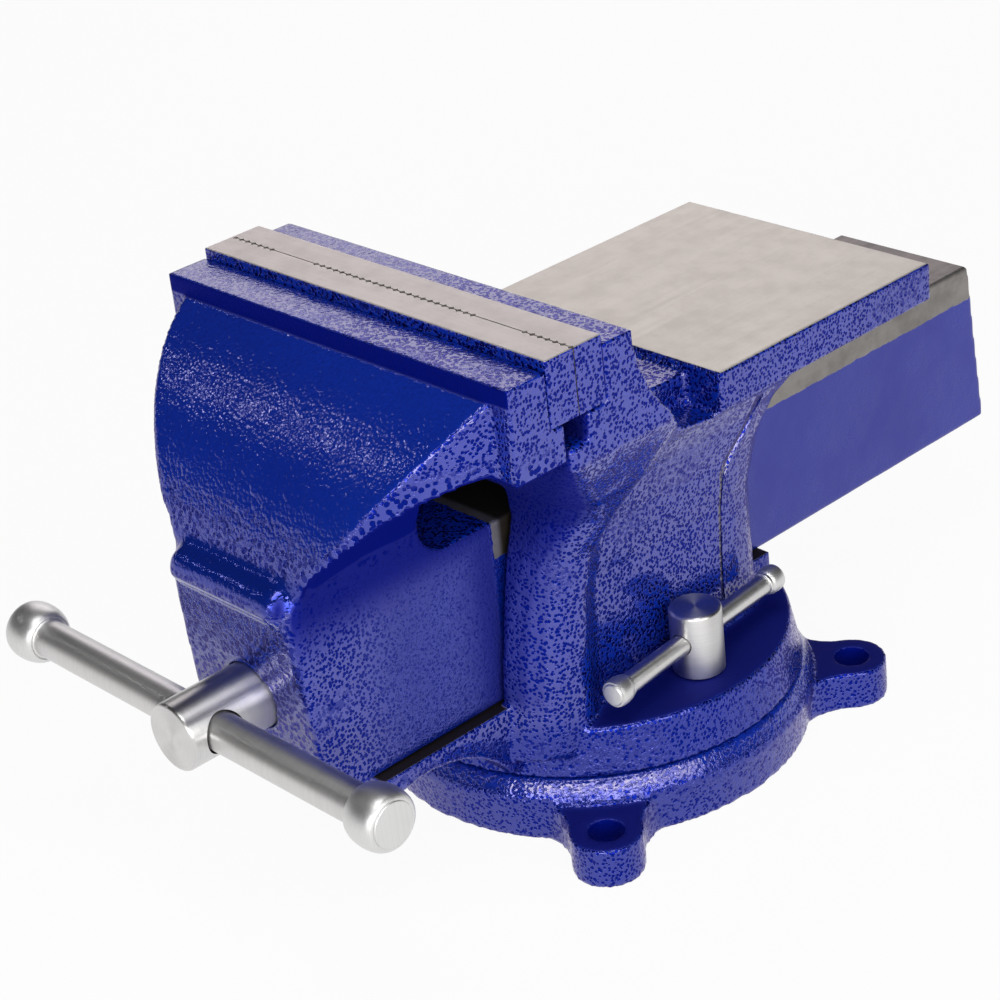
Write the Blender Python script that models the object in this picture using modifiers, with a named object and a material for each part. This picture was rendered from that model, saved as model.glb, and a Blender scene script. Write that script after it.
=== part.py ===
"""Swivel bench vise with an anvil, as an assembly of separate pieces.

Units are metres, +Z is up. The origin is the point where the swivel axis meets the bench.
The jaws open towards -Y, the anvil looks towards +Y and X runs along the jaws.
"""

import math

import bmesh
import bpy
from mathutils import Matrix, Vector

MM = 0.001

# Driving sizes
JAW_HALF = 75 * MM
JAW_TOP = 176.2 * MM
JAW_REACH = 63.6 * MM           # from the swivel axis forward to where the jaws meet
NOSE_REACH = 138.2 * MM         # front face of the slide under the roll
WAYS_TOP = 48 * MM              # machined floor that carries the slide
RISE = JAW_TOP - WAYS_TOP       # what stands above the ways scales with it

# Fits and finish
FIT_GAP = 0.3 * MM              # air between two pieces that touch
RUNNING_GAP = 0.4 * MM          # air under and over the slide in its channel
CHANNEL_GAP = 0.9 * MM          # air at each side of the slide
OVERRUN = 3 * MM                # how far a cutter runs past the face that it opens
WELD = 0.001 * MM               # points closer than this are one point
CAST_ROUND = 3 * MM             # rounding of the cast corners of the slide
EDGE_BREAK = 0.8 * MM           # small chamfer of machined edges
LARGE_STEPS = 64                # sides of the large turned pieces
MEDIUM_STEPS = 32
SMALL_STEPS = 20
FLAT_ANGLE = math.radians(0.05)
QUARTER_BULGE = 0.207           # bulge of a quarter circle, as a share of its chord
HALF_BULGE = 0.5                # and of a half circle
HOLE_TURN = math.radians(4)     # keeps the corners of neighbouring holes out of line

# Swivel base
BASE_FOOT_RADIUS = JAW_HALF * 0.9627
BASE_WALL_RADIUS = JAW_HALF * 0.984
BASE_TOP_RADIUS = JAW_HALF * 0.9387
BASE_WALL_HEIGHT = 15 * MM
BASE_HEIGHT = 21.3 * MM
PIVOT_RADIUS = 12 * MM
PIVOT_HEIGHT = 8.5 * MM
SLOT_WIDTH = 13.6 * MM
SLOT_LAND = 5.8 * MM
CHANNEL_WIDTH = 22 * MM
CHANNEL_HEIGHT = 9 * MM
NUT_OPENING_RADIUS = 12.7 * MM
LUG_COUNT = 4
LUG_TURN = math.radians(-42.7)
LUG_REACH = 13.2 * MM           # from the wall out to the middle of a lug's hole
LUG_HOLE_CIRCLE = BASE_WALL_RADIUS + LUG_REACH
LUG_END_RADIUS = 11.5 * MM
LUG_ROOT_WIDTH = 44 * MM
LUG_HEIGHT = 13.5 * MM
LUG_HOLE_RADIUS = 5.5 * MM
LUG_SWEEP_SHARE = 0.12

# Turning disc under the fixed body
DISC_BOTTOM = BASE_HEIGHT + FIT_GAP
DISC_TOP = 37.6 * MM
DISC_FOOT_RADIUS = BASE_TOP_RADIUS
DISC_TAPER = 2.9 * MM
DISC_TOP_RADIUS = DISC_FOOT_RADIUS - DISC_TAPER

# Ways, the machined floor that carries the slide
WAYS_HALF = 32.5 * MM
WAYS_FRONT = 116 * MM
WAYS_REAR = 56 * MM
WAYS_TIP = 9 * MM
WAYS_ROOT_FRONT = 66 * MM
WAYS_ROOT_REAR = 48 * MM
WAYS_SWEEP_SHARE = 0.18

# Slide, the hollow bar of the moving jaw
SLIDE_HALF = 28.3 * MM
SLIDE_BOTTOM = WAYS_TOP + RUNNING_GAP
SLIDE_TOP = WAYS_TOP + RISE * 0.4758
SLIDE_REAR = 170.6 * MM
SLIDE_REAR_SLANT = 7.3 * MM
CAVITY_HALF = 17 * MM
CAVITY_ROOF = 11 * MM
FRONT_WALL = 16 * MM

# Jaws
PLATE_DEPTH = 10.4 * MM
PLATE_HEIGHT = 20.3 * MM
PLATE_RISE = 3.1 * MM
PLATE_GAP = 0.4 * MM            # air between the closed jaw plates
TOOTH_PITCH = 3 * MM
TOOTH_DEPTH = 0.8 * MM
TOOTH_LAND_SHARE = 0.4
CLEARANCE_STEP = 5.5 * MM       # from the jaw line back to the moving casting
NOTCH_STEP = 2.7 * MM           # from the jaw line back to the fixed casting
LEDGE_TOP = WAYS_TOP + RISE * 0.7956
BLOCK_DEPTH = 25.7 * MM         # jaw line to the front of the moving jaw
BLOCK_BOTTOM = WAYS_TOP + RISE * 0.7722
FIXED_DEPTH = 22.7 * MM         # jaw line to the back of the fixed jaw's top
# Slope of the fixed jaw's back: out and down, as shares of the height above the ledge
JAW_BACK_SHARES = ((0.06, 0.42), (0.24, 0.82), (0.38, 1.00))
PLATE_SCREW_SPACING = JAW_HALF * 1.2

# Apron, the rounded shield in front of the moving jaw
APRON_TOP = WAYS_TOP + RISE * 0.9594
APRON_HALF = JAW_HALF * 0.9
APRON_LIP_STEP = 4.2 * MM       # from the nose back to the apron's lip
APRON_LIP_REACH = NOSE_REACH - APRON_LIP_STEP
APRON_LIP_TOP = WAYS_TOP + RISE * 0.5515
APRON_LIP_BOTTOM = WAYS_TOP + RISE * 0.5343
APRON_UNDERSIDE = WAYS_TOP + RISE * 0.7839
APRON_BULGE_SHARE = 0.103
APRON_UNDERSIDE_BULGE_SHARE = 0.19
APRON_PLAN_BULGE_SHARE = 0.129
APRON_OVERLAP = 3 * MM
FLARE_FOOT = WAYS_TOP + RISE * 0.5125
FLARE_SHARE = 0.9               # how far it reaches under the apron's overhang
FLARE_LEAST = 3 * MM            # smallest overhang that has a flare
FLARE_SINK = 1.5 * MM           # how deep its hidden faces lie inside the casting
ROLL_HALF = 24.7 * MM
ROLL_RADIUS = 5.9 * MM
ROLL_END_SHARES = ((0.6, 1.0), (0.9, 0.5), (1.0, 0.0))  # rounding of its ends: width, reach
ROLL_STEP = 2.8 * MM            # from the nose back to the roll's middle
ROLL_REACH = NOSE_REACH - ROLL_STEP
ROLL_HEIGHT = WAYS_TOP + RISE * 0.5117
NOSE_HEIGHT = WAYS_TOP + RISE * 0.4914
NOSE_SLANT = 5 * MM
NECK_FILLET = 10 * MM
# Front of the neck inside the apron: forward and up, as shares of the apron's run and drop
NECK_SHARES = ((0.42, 1.05), (0.84, 0.52), (0.96, 0.11))
NECK_OVERLAP = 1.5 * MM         # how far the neck reaches under the jaw block
NOSE_ROUND = 5 * MM

# Fixed body
COLUMN_HALF = JAW_HALF * 0.6173
LEDGE_REACH = JAW_REACH + CLEARANCE_STEP - RUNNING_GAP
THROAT_REACH = 53 * MM
MOUTH_RISE = 10 * MM            # height of the channel's cast mouth over the slide
MOUTH_END = 30 * MM
CORNER_WIDTH = 22 * MM
CORNER_DEPTH = 18 * MM
WAIST_HALF = JAW_HALF * 0.5333
REAR_REACH = 47 * MM
REAR_THROAT_REACH = 60 * MM
REAR_CORNER = 8 * MM
CREASE_REACH = 24 * MM
FOOT_FILLET = 1.6 * MM
COLUMN_BACK = 45 * MM
POCKET_FRONT = 32 * MM
SHOULDER_BACK = 22 * MM
WEB_HALF = JAW_HALF * 0.5133
ANVIL_TOP = WAYS_TOP + RISE * 0.6739
WEB_STEP = 2.4 * MM             # from the anvil's top down to the web before it
WEB_TOP = ANVIL_TOP - WEB_STEP
NOTCH_DEPTH = 13.8 * MM
NOTCH_FLOOR = ANVIL_TOP - NOTCH_DEPTH
WEB_START_SHARE = 0.17          # where the saddle starts between the jaw and the anvil
NOTCH_START_SHARE = 0.19
SADDLE_SWEEP_SHARE = 0.14

# Anvil
ANVIL_HALF = JAW_HALF * 0.708
ANVIL_FRONT = 16.1 * MM
ANVIL_REAR = 118.5 * MM
ANVIL_THICKNESS = 13.2 * MM

# Main screw and its handle
SCREW_HEIGHT = WAYS_TOP + RISE * 0.2192
SCREW_RADIUS = 9 * MM
SCREW_TIP = 120 * MM
SCREW_HEAD_RADIUS = 10.75 * MM
HANDLE_STEP = 14.9 * MM         # from the nose forward to the handle
HANDLE_REACH = NOSE_REACH + HANDLE_STEP
SCREW_HEAD_STEP = 11.3 * MM     # from the handle forward to the end of the head
SCREW_HEAD_FACE = HANDLE_REACH + SCREW_HEAD_STEP
HEAD_POCKET_DEPTH = 8 * MM
HANDLE_RADIUS = 6 * MM
HANDLE_HOLE_RADIUS = 6.7 * MM
HANDLE_LEFT = 84 * MM
HANDLE_RIGHT = 77.2 * MM
KNOB_RADIUS = 9.5 * MM
KNOB_LENGTH = 13 * MM
KNOB_FLAT_RADIUS = 7.2 * MM
KNOB_SOCKET_DEPTH = 9 * MM

# Retaining parts behind the front wall
WASHER_RADIUS = 13.5 * MM
WASHER_THICKNESS = 2 * MM
COLLAR_LENGTH = 4 * MM
SPRING_LENGTH = 14 * MM
SPRING_WIRE_RADIUS = 1.1 * MM
SPRING_COIL_RADIUS = 11.6 * MM
SPRING_TURNS = 4
SPIRAL_STEPS = 12
PIN_RADIUS = 1.2 * MM
PIN_EYE_RADIUS = 1.6 * MM
PIN_TIP = 1 * MM                # what the split pin shows beyond the screw
PIN_LENGTH = 2 * SCREW_RADIUS + PIN_TIP

# Main nut on the floor of the channel
NUT_HALF = 15 * MM
NUT_FRONT = 55 * MM
NUT_LENGTH = 30 * MM
NUT_CROWN = 13.5 * MM
NUT_BOLT_RADIUS = 5 * MM
NUT_BOLT_HEAD_RADIUS = 9 * MM
NUT_BOLT_HEAD = 7 * MM
NUT_BOLT_TOP = 61 * MM

# Lock screws, one at each side of the disc
LOCK_HEAD_RADIUS = 8.5 * MM
LOCK_OFFSET = WAIST_HALF + FOOT_FILLET + LOCK_HEAD_RADIUS + 2 * FIT_GAP
LOCK_HEAD_TOP = 60.2 * MM
LOCK_SHANK_RADIUS = 6 * MM
LOCK_BAR_HEIGHT = 50 * MM
LOCK_BAR_TURN = math.radians(5.7)
LOCK_BAR_RADIUS = 3.35 * MM
LOCK_BAR_HALF = 43 * MM
LOCK_CAP_RADIUS = 4.6 * MM
LOCK_CAP_LENGTH = 7.5 * MM
LOCK_CAP_WALL = 1.6 * MM
CLAMP_NUT_WIDTH = 19 * MM
CLAMP_NUT_LENGTH = 16 * MM
CLAMP_NUT_HEIGHT = 8 * MM

# Plate screws
PLATE_SCREW_HEAD_RADIUS = 5 * MM
PLATE_SCREW_HEAD = 4.4 * MM
PLATE_SCREW_RADIUS = 3 * MM
PLATE_SCREW_LENGTH = 18 * MM
PLATE_SCREW_SINK = 1.6 * MM
SOCKET_RADIUS = 2.9 * MM
SOCKET_DEPTH = 2.4 * MM

# Levels of the fixed body from the disc's top up to the ledge under the jaw, as shares:
# height, widening of the front, reach of the front, front corner, rear widening, foot fillet
BODY_LEVEL_SHARES = (
    (-0.07, 0.00, 1.00, 1.10, 0.00, 1.00),
    (0.00, 0.00, 0.955, 1.10, 0.00, 0.90),
    (0.03, 0.00, 0.90, 1.08, 0.00, 0.38),
    (0.08, 0.00, 0.83, 1.05, 0.00, 0.10),
    (0.20, 0.00, 0.73, 1.00, 0.00, 0.00),
    (0.38, 0.01, 0.51, 0.95, 0.00, 0.00),
    (0.53, 0.09, 0.25, 0.85, 0.17, 0.00),
    (0.65, 0.34, 0.00, 0.70, 0.45, 0.00),
    (0.72, 0.50, 0.08, 0.58, 0.75, 0.00),
    (0.755, 0.60, 0.25, 0.50, 1.00, 0.00),
    (0.86, 0.83, 0.72, 0.30, 1.00, 0.00),
    (0.94, 1.00, 1.00, 0.10, 1.00, 0.00),
    (1.00, 1.00, 1.00, 0.10, 1.00, 0.00),
)
CORNER_STEPS = 5
SIDE_STEPS = 6
REAR_STEPS = 4
ARC_STEPS = 12

# Places that follow from the sizes above
JAW_LINE = -JAW_REACH
MOVING_BACK = JAW_LINE - CLEARANCE_STEP
MOVING_FRONT = JAW_LINE - BLOCK_DEPTH
PLATE_TOP = JAW_TOP + PLATE_RISE
PLATE_BOTTOM = PLATE_TOP - PLATE_HEIGHT
PLATE_MIDDLE = PLATE_TOP - PLATE_HEIGHT / 2
SEAT_TOP = PLATE_BOTTOM - FIT_GAP
FRONT_WALL_BACK = -NOSE_REACH + FRONT_WALL
HEAD_POCKET_FLOOR = -NOSE_REACH + HEAD_POCKET_DEPTH
HEAD_SHOULDER = HEAD_POCKET_FLOOR - FIT_GAP
CAVITY_TOP = SLIDE_TOP - CAVITY_ROOF
BODY_HEIGHT = LEDGE_TOP - DISC_TOP
NUT_BOLT_PLACE = -NUT_FRONT + NUT_LENGTH / 2
SCREW_CENTRE = Vector((0, -HANDLE_REACH, SCREW_HEIGHT))

PAINT = ("blue_paint", (0.012, 0.020, 0.270), 0.0, 0.28)
GROUND = ("ground_steel", (0.60, 0.56, 0.52), 1.0, 0.38)
TURNED = ("turned_steel", (0.66, 0.65, 0.63), 1.0, 0.30)
MACHINED_IRON = ("machined_iron", (0.18, 0.17, 0.16), 1.0, 0.45)
BLACK_STEEL = ("black_steel", (0.05, 0.05, 0.055), 0.9, 0.45)
SPRING_STEEL = ("spring_steel", (0.35, 0.35, 0.36), 1.0, 0.35)


def clear_scene():
    for old in list(bpy.data.objects):
        bpy.data.objects.remove(old, do_unlink=True)


def new_collection(name):
    collection = bpy.data.collections.new(name)
    bpy.context.scene.collection.children.link(collection)
    return collection


def material(finish):
    """Principled material of a finish, made once and shared."""
    name, colour, metallic, roughness = finish
    found = bpy.data.materials.get(name)
    if found:
        return found
    made = bpy.data.materials.new(name)
    made.use_nodes = True
    shader = made.node_tree.nodes["Principled BSDF"]
    shader.inputs["Base Color"].default_value = (*colour, 1)
    shader.inputs["Metallic"].default_value = metallic
    shader.inputs["Roughness"].default_value = roughness
    made.diffuse_color = (*colour, 1)
    return made


def joint_empty(name, place, parent=None):
    """Empty on a joint's axis, which carries the pieces of one moving body."""
    empty = bpy.data.objects.new(name, None)
    PARTS.objects.link(empty)
    attach(empty, parent, Vector(place))
    return empty


def world_place(obj):
    place = Vector(obj.location)
    return place + world_place(obj.parent) if obj.parent else place


def attach(obj, parent, place):
    """Put an object at a place given in the world, under its parent empty."""
    obj.parent = parent
    obj.location = place - world_place(parent) if parent else place


def part(obj, finish, parent=None):
    """Make an object one of the vise's pieces."""
    PARTS.objects.link(obj)
    attach(obj, parent, Vector(obj.location))
    obj.data.materials.append(material(finish))
    if obj.type == 'MESH' and not obj.modifiers:
        obj.data.shade_smooth()
        obj.data.set_sharp_from_angle(angle=math.radians(35))
    return obj


def shape(target, tool, operation='DIFFERENCE'):
    """Cut a piece by a tool, or join the tool to it. The tool itself isn't a piece."""
    CUTTERS.objects.link(tool)
    attach(tool, target.parent, Vector(tool.location))
    tool.hide_render = True
    tool.display_type = 'WIRE'
    cut = target.modifiers.new(tool.name, 'BOOLEAN')
    cut.operation = operation
    cut.solver = 'EXACT'
    cut.object = tool


def mesh_object(name, bm, place):
    mesh = bpy.data.meshes.new(name)
    bm.to_mesh(mesh)
    bm.free()
    obj = bpy.data.objects.new(name, mesh)
    obj.location = place
    return obj


def block(name, low, high):
    """Box between two corners, with its origin at its centre."""
    low = Vector(low)
    high = Vector(high)
    bm = bmesh.new()
    bmesh.ops.create_cube(bm, size=1)
    bmesh.ops.scale(bm, vec=high - low, verts=bm.verts)
    return mesh_object(name, bm, (low + high) / 2)


def rod(name, radius, start, end, steps=SMALL_STEPS, turn=0):
    """Round or, with few steps, many-sided bar between two points."""
    start = Vector(start)
    end = Vector(end)
    axis = end - start
    aim = axis.to_track_quat('Z', 'Y').to_matrix().to_4x4()
    bm = bmesh.new()
    bmesh.ops.create_cone(bm, cap_ends=True, segments=steps, radius1=radius, radius2=radius,
                          depth=axis.length, matrix=aim @ Matrix.Rotation(turn, 4, 'Z'))
    return mesh_object(name, bm, (start + end) / 2)


def turned(name, profile, place, direction=(0, 0, 1), steps=MEDIUM_STEPS):
    """Solid of revolution. The profile is (radius, height) points, top to bottom."""
    mesh = bpy.data.meshes.new(name)
    points = [(radius, 0, height) for radius, height in profile]
    edges = [(index, index + 1) for index in range(len(points) - 1)]
    mesh.from_pydata(points, edges, [])
    obj = bpy.data.objects.new(name, mesh)
    obj.location = place
    obj.rotation_euler = Vector(direction).to_track_quat('Z', 'Y').to_euler()
    spin = obj.modifiers.new("turn", 'SCREW')
    spin.axis = 'Z'
    spin.angle = math.tau
    spin.steps = steps
    spin.render_steps = steps
    spin.use_merge_vertices = True
    spin.merge_threshold = WELD
    return obj


def extruded(name, outline, axis, low, high):
    """Solid of a flat outline. Across X it is (y, z) points, along Z it is (x, y) points."""
    curve = bpy.data.curves.new(name, 'CURVE')
    curve.dimensions = '2D'
    curve.fill_mode = 'BOTH'
    curve.extrude = (high - low) / 2
    spline = curve.splines.new('POLY')
    spline.points.add(len(outline) - 1)
    for point, (across, up) in zip(spline.points, outline):
        point.co = (across, up, 0, 1)
    spline.use_cyclic_u = True
    guide = bpy.data.objects.new(f"{name}_guide", curve)
    CUTTERS.objects.link(guide)
    middle = (low + high) / 2
    if axis == 'X':
        guide.matrix_world = Matrix(((0, 0, 1, middle), (1, 0, 0, 0), (0, 1, 0, 0), (0, 0, 0, 1)))
    else:
        guide.matrix_world = Matrix.Translation((0, 0, middle))
    bpy.context.view_layer.update()
    seen = guide.evaluated_get(bpy.context.evaluated_depsgraph_get())
    mesh = bpy.data.meshes.new_from_object(seen)
    bm = bmesh.new()
    bm.from_mesh(mesh)
    bmesh.ops.remove_doubles(bm, verts=bm.verts, dist=WELD)
    bmesh.ops.dissolve_limit(bm, angle_limit=FLAT_ANGLE, verts=bm.verts, edges=bm.edges)
    bmesh.ops.recalc_face_normals(bm, faces=bm.faces)
    bm.to_mesh(mesh)
    bm.free()
    obj = bpy.data.objects.new(name, mesh)
    obj.matrix_world = guide.matrix_world
    bpy.data.objects.remove(guide, do_unlink=True)
    return obj


def loft(name, rings):
    """Closed skin over level rings that have equally many points, for unlike sections."""
    bm = bmesh.new()
    rows = [[bm.verts.new(point) for point in ring] for ring in rings]
    count = len(rows[0])
    for lower, upper in zip(rows, rows[1:]):
        for index in range(count):
            following = (index + 1) % count
            bm.faces.new((lower[index], lower[following], upper[following], upper[index]))
    bm.faces.new(rows[0])
    bm.faces.new(rows[-1])
    bmesh.ops.recalc_face_normals(bm, faces=bm.faces)
    return mesh_object(name, bm, (0, 0, 0))


def wire(name, points, radius, place):
    """Round wire through points that are given from its own origin."""
    curve = bpy.data.curves.new(name, 'CURVE')
    curve.dimensions = '3D'
    curve.bevel_depth = radius
    curve.bevel_resolution = 1
    curve.use_fill_caps = True
    spline = curve.splines.new('POLY')
    spline.points.add(len(points) - 1)
    for spot, point in zip(spline.points, points):
        spot.co = (*point, 1)
    obj = bpy.data.objects.new(name, curve)
    obj.location = place
    return obj


def arc(start, end, bulge_share, steps=ARC_STEPS):
    """Points of a round arc that stands off its chord by a share of the chord's length.

    A positive share bulges to the left of the way from start to end.
    """
    start = Vector(start)
    chord = Vector(end) - start
    aside = Vector((-chord.y, chord.x))
    half_turn = 2 * math.atan(2 * bulge_share)
    points = []
    for step in range(steps + 1):
        turn = half_turn * (2 * step / steps - 1)
        along_share = (math.sin(turn) / math.sin(half_turn) + 1) / 2
        aside_share = (math.cos(turn) - math.cos(half_turn)) / (2 * math.sin(half_turn))
        points.append(start + chord * along_share + aside * aside_share)
    return points


def mirrored(points):
    """The same (x, y) points on the other side of the vise, in the reverse order."""
    return [(-x, y) for x, y in reversed(points)]


def lerp(low, high, share):
    return low + (high - low) * share


def lug_outline():
    """A bolt lug that points along +X, its root inside the base's wall."""
    root = (BASE_TOP_RADIUS - CAST_ROUND, LUG_ROOT_WIDTH / 2)
    neck = (LUG_HOLE_CIRCLE - LUG_END_RADIUS / 2, LUG_END_RADIUS)
    tip = (LUG_HOLE_CIRCLE, LUG_END_RADIUS)
    upper = [tuple(point) for point in arc(root, neck, -LUG_SWEEP_SHARE, CORNER_STEPS)]
    end = arc(tip, (tip[0], -tip[1]), HALF_BULGE)
    lower = [(x, -y) for x, y in reversed(upper)]
    return upper + [tuple(point) for point in end] + lower


def make_base():
    """Base ring with its T-slot, pivot boss and bolt lugs."""
    slot_out = LOCK_OFFSET + SLOT_WIDTH / 2
    slot_in = LOCK_OFFSET - SLOT_WIDTH / 2
    channel_out = LOCK_OFFSET + CHANNEL_WIDTH / 2
    channel_in = LOCK_OFFSET - CHANNEL_WIDTH / 2
    channel_top = BASE_HEIGHT - SLOT_LAND
    channel_floor = channel_top - CHANNEL_HEIGHT
    pivot_top = BASE_HEIGHT + PIVOT_HEIGHT
    profile = [
        (0, pivot_top), (PIVOT_RADIUS - EDGE_BREAK, pivot_top),
        (PIVOT_RADIUS, pivot_top - EDGE_BREAK), (PIVOT_RADIUS, BASE_HEIGHT),
        (slot_in, BASE_HEIGHT), (slot_in, channel_top), (channel_in, channel_top),
        (channel_in, channel_floor), (channel_out, channel_floor), (channel_out, channel_top),
        (slot_out, channel_top), (slot_out, BASE_HEIGHT),
        (BASE_TOP_RADIUS, BASE_HEIGHT), (BASE_WALL_RADIUS, BASE_WALL_HEIGHT),
        (BASE_FOOT_RADIUS, 0), (0, 0),
    ]
    base = turned("base_ring", profile, (0, 0, 0), steps=LARGE_STEPS)
    part(base, PAINT)
    for index in range(LUG_COUNT):
        lug = extruded(f"lug_shape_{index}", lug_outline(), 'Z', 0, LUG_HEIGHT)
        lug.rotation_euler = (0, 0, LUG_TURN + index * math.tau / LUG_COUNT)
        shape(base, lug, 'UNION')
    for index in range(LUG_COUNT):
        turn = LUG_TURN + index * math.tau / LUG_COUNT
        x = LUG_HOLE_CIRCLE * math.cos(turn)
        y = LUG_HOLE_CIRCLE * math.sin(turn)
        hole = rod(f"lug_hole_{index}", LUG_HOLE_RADIUS, (x, y, -OVERRUN), (x, y, LUG_HEIGHT + OVERRUN))
        shape(base, hole)
    opening = rod("nut_opening", NUT_OPENING_RADIUS, (0, -LOCK_OFFSET, channel_top - OVERRUN),
                  (0, -LOCK_OFFSET, BASE_HEIGHT + OVERRUN), MEDIUM_STEPS)
    shape(base, opening)


def body_ring(height, widening, reach, corner, rear, foot):
    """Level outline of the fixed body, from the shares of one level."""
    z = DISC_TOP + height * BODY_HEIGHT
    front_half = lerp(COLUMN_HALF, JAW_HALF, widening)
    front = -lerp(THROAT_REACH, LEDGE_REACH, reach)
    corner_width = CORNER_WIDTH * corner
    corner_depth = CORNER_DEPTH * corner
    corner_end = front + corner_depth
    narrow_start = max(-lerp(COLUMN_BACK, SHOULDER_BACK, widening), corner_end + EDGE_BREAK)
    narrow_end = lerp(-POCKET_FRONT, ANVIL_FRONT, widening)
    rear_half = lerp(WAIST_HALF, ANVIL_HALF, rear) + FOOT_FILLET * foot
    back = lerp(REAR_REACH, REAR_THROAT_REACH, rear) + FOOT_FILLET * foot
    rear_corner = REAR_CORNER * (1 - rear) + EDGE_BREAK
    half = []
    for step in range(CORNER_STEPS + 1):
        turn = step / CORNER_STEPS * math.pi / 2
        half.append((front_half - corner_width * (1 - math.sin(turn)),
                     corner_end - corner_depth * math.cos(turn)))
    for step in range(SIDE_STEPS + 1):
        share = step / SIDE_STEPS
        eased = share * share * (3 - 2 * share)
        half.append((lerp(front_half, rear_half, eased), lerp(narrow_start, narrow_end, share)))
    for step in range(REAR_STEPS + 1):
        turn = step / REAR_STEPS * math.pi / 2
        half.append((rear_half - rear_corner * (1 - math.cos(turn)),
                     lerp(CREASE_REACH, back, math.sin(turn))))
    return [(x, y, z) for x, y in half + mirrored(half)]


def fixed_jaw_outline():
    """Side view of the fixed jaw, with the seat of its plate and its sloping back."""
    back = JAW_LINE + FIXED_DEPTH
    seat = JAW_LINE + PLATE_DEPTH + FIT_GAP
    fall = JAW_TOP - LEDGE_TOP
    return [
        (JAW_LINE + NOTCH_STEP, LEDGE_TOP - OVERRUN), (JAW_LINE + NOTCH_STEP, SEAT_TOP),
        (seat, SEAT_TOP), (seat, JAW_TOP), (back, JAW_TOP),
        *[(back + fall * out, JAW_TOP - fall * down) for out, down in JAW_BACK_SHARES],
        (back + fall * JAW_BACK_SHARES[-1][0], LEDGE_TOP - OVERRUN),
    ]


def saddle_outline(floor, start_share):
    """Side view of the air between the jaw's back and the anvil, down to a floor."""
    back = JAW_LINE + FIXED_DEPTH
    top = LEDGE_TOP + OVERRUN
    start = (lerp(back, ANVIL_FRONT, start_share), LEDGE_TOP)
    under_anvil = ANVIL_TOP - ANVIL_THICKNESS / 2
    far = ANVIL_REAR + OVERRUN
    curve = [tuple(point) for point in arc(start, (ANVIL_FRONT + EDGE_BREAK / 2, floor),
                                           -SADDLE_SWEEP_SHARE)]
    rest = max(floor, under_anvil)
    return [(start[0] - EDGE_BREAK, top)] + curve + [
        (ANVIL_FRONT + EDGE_BREAK, rest), (far, rest), (far, top)]


def ways_outline():
    """Side view of the machined floor, whose ends reach out past the disc."""
    under = WAYS_TOP - WAYS_TIP
    front = arc((-WAYS_FRONT, under), (-WAYS_ROOT_FRONT, DISC_BOTTOM + OVERRUN),
                WAYS_SWEEP_SHARE)
    rear = [(WAYS_ROOT_REAR, DISC_BOTTOM + OVERRUN), (WAYS_REAR, under)]
    return ([(-WAYS_FRONT, WAYS_TOP)] + [tuple(point) for point in front] + rear
            + [(WAYS_REAR, WAYS_TOP)])


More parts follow.
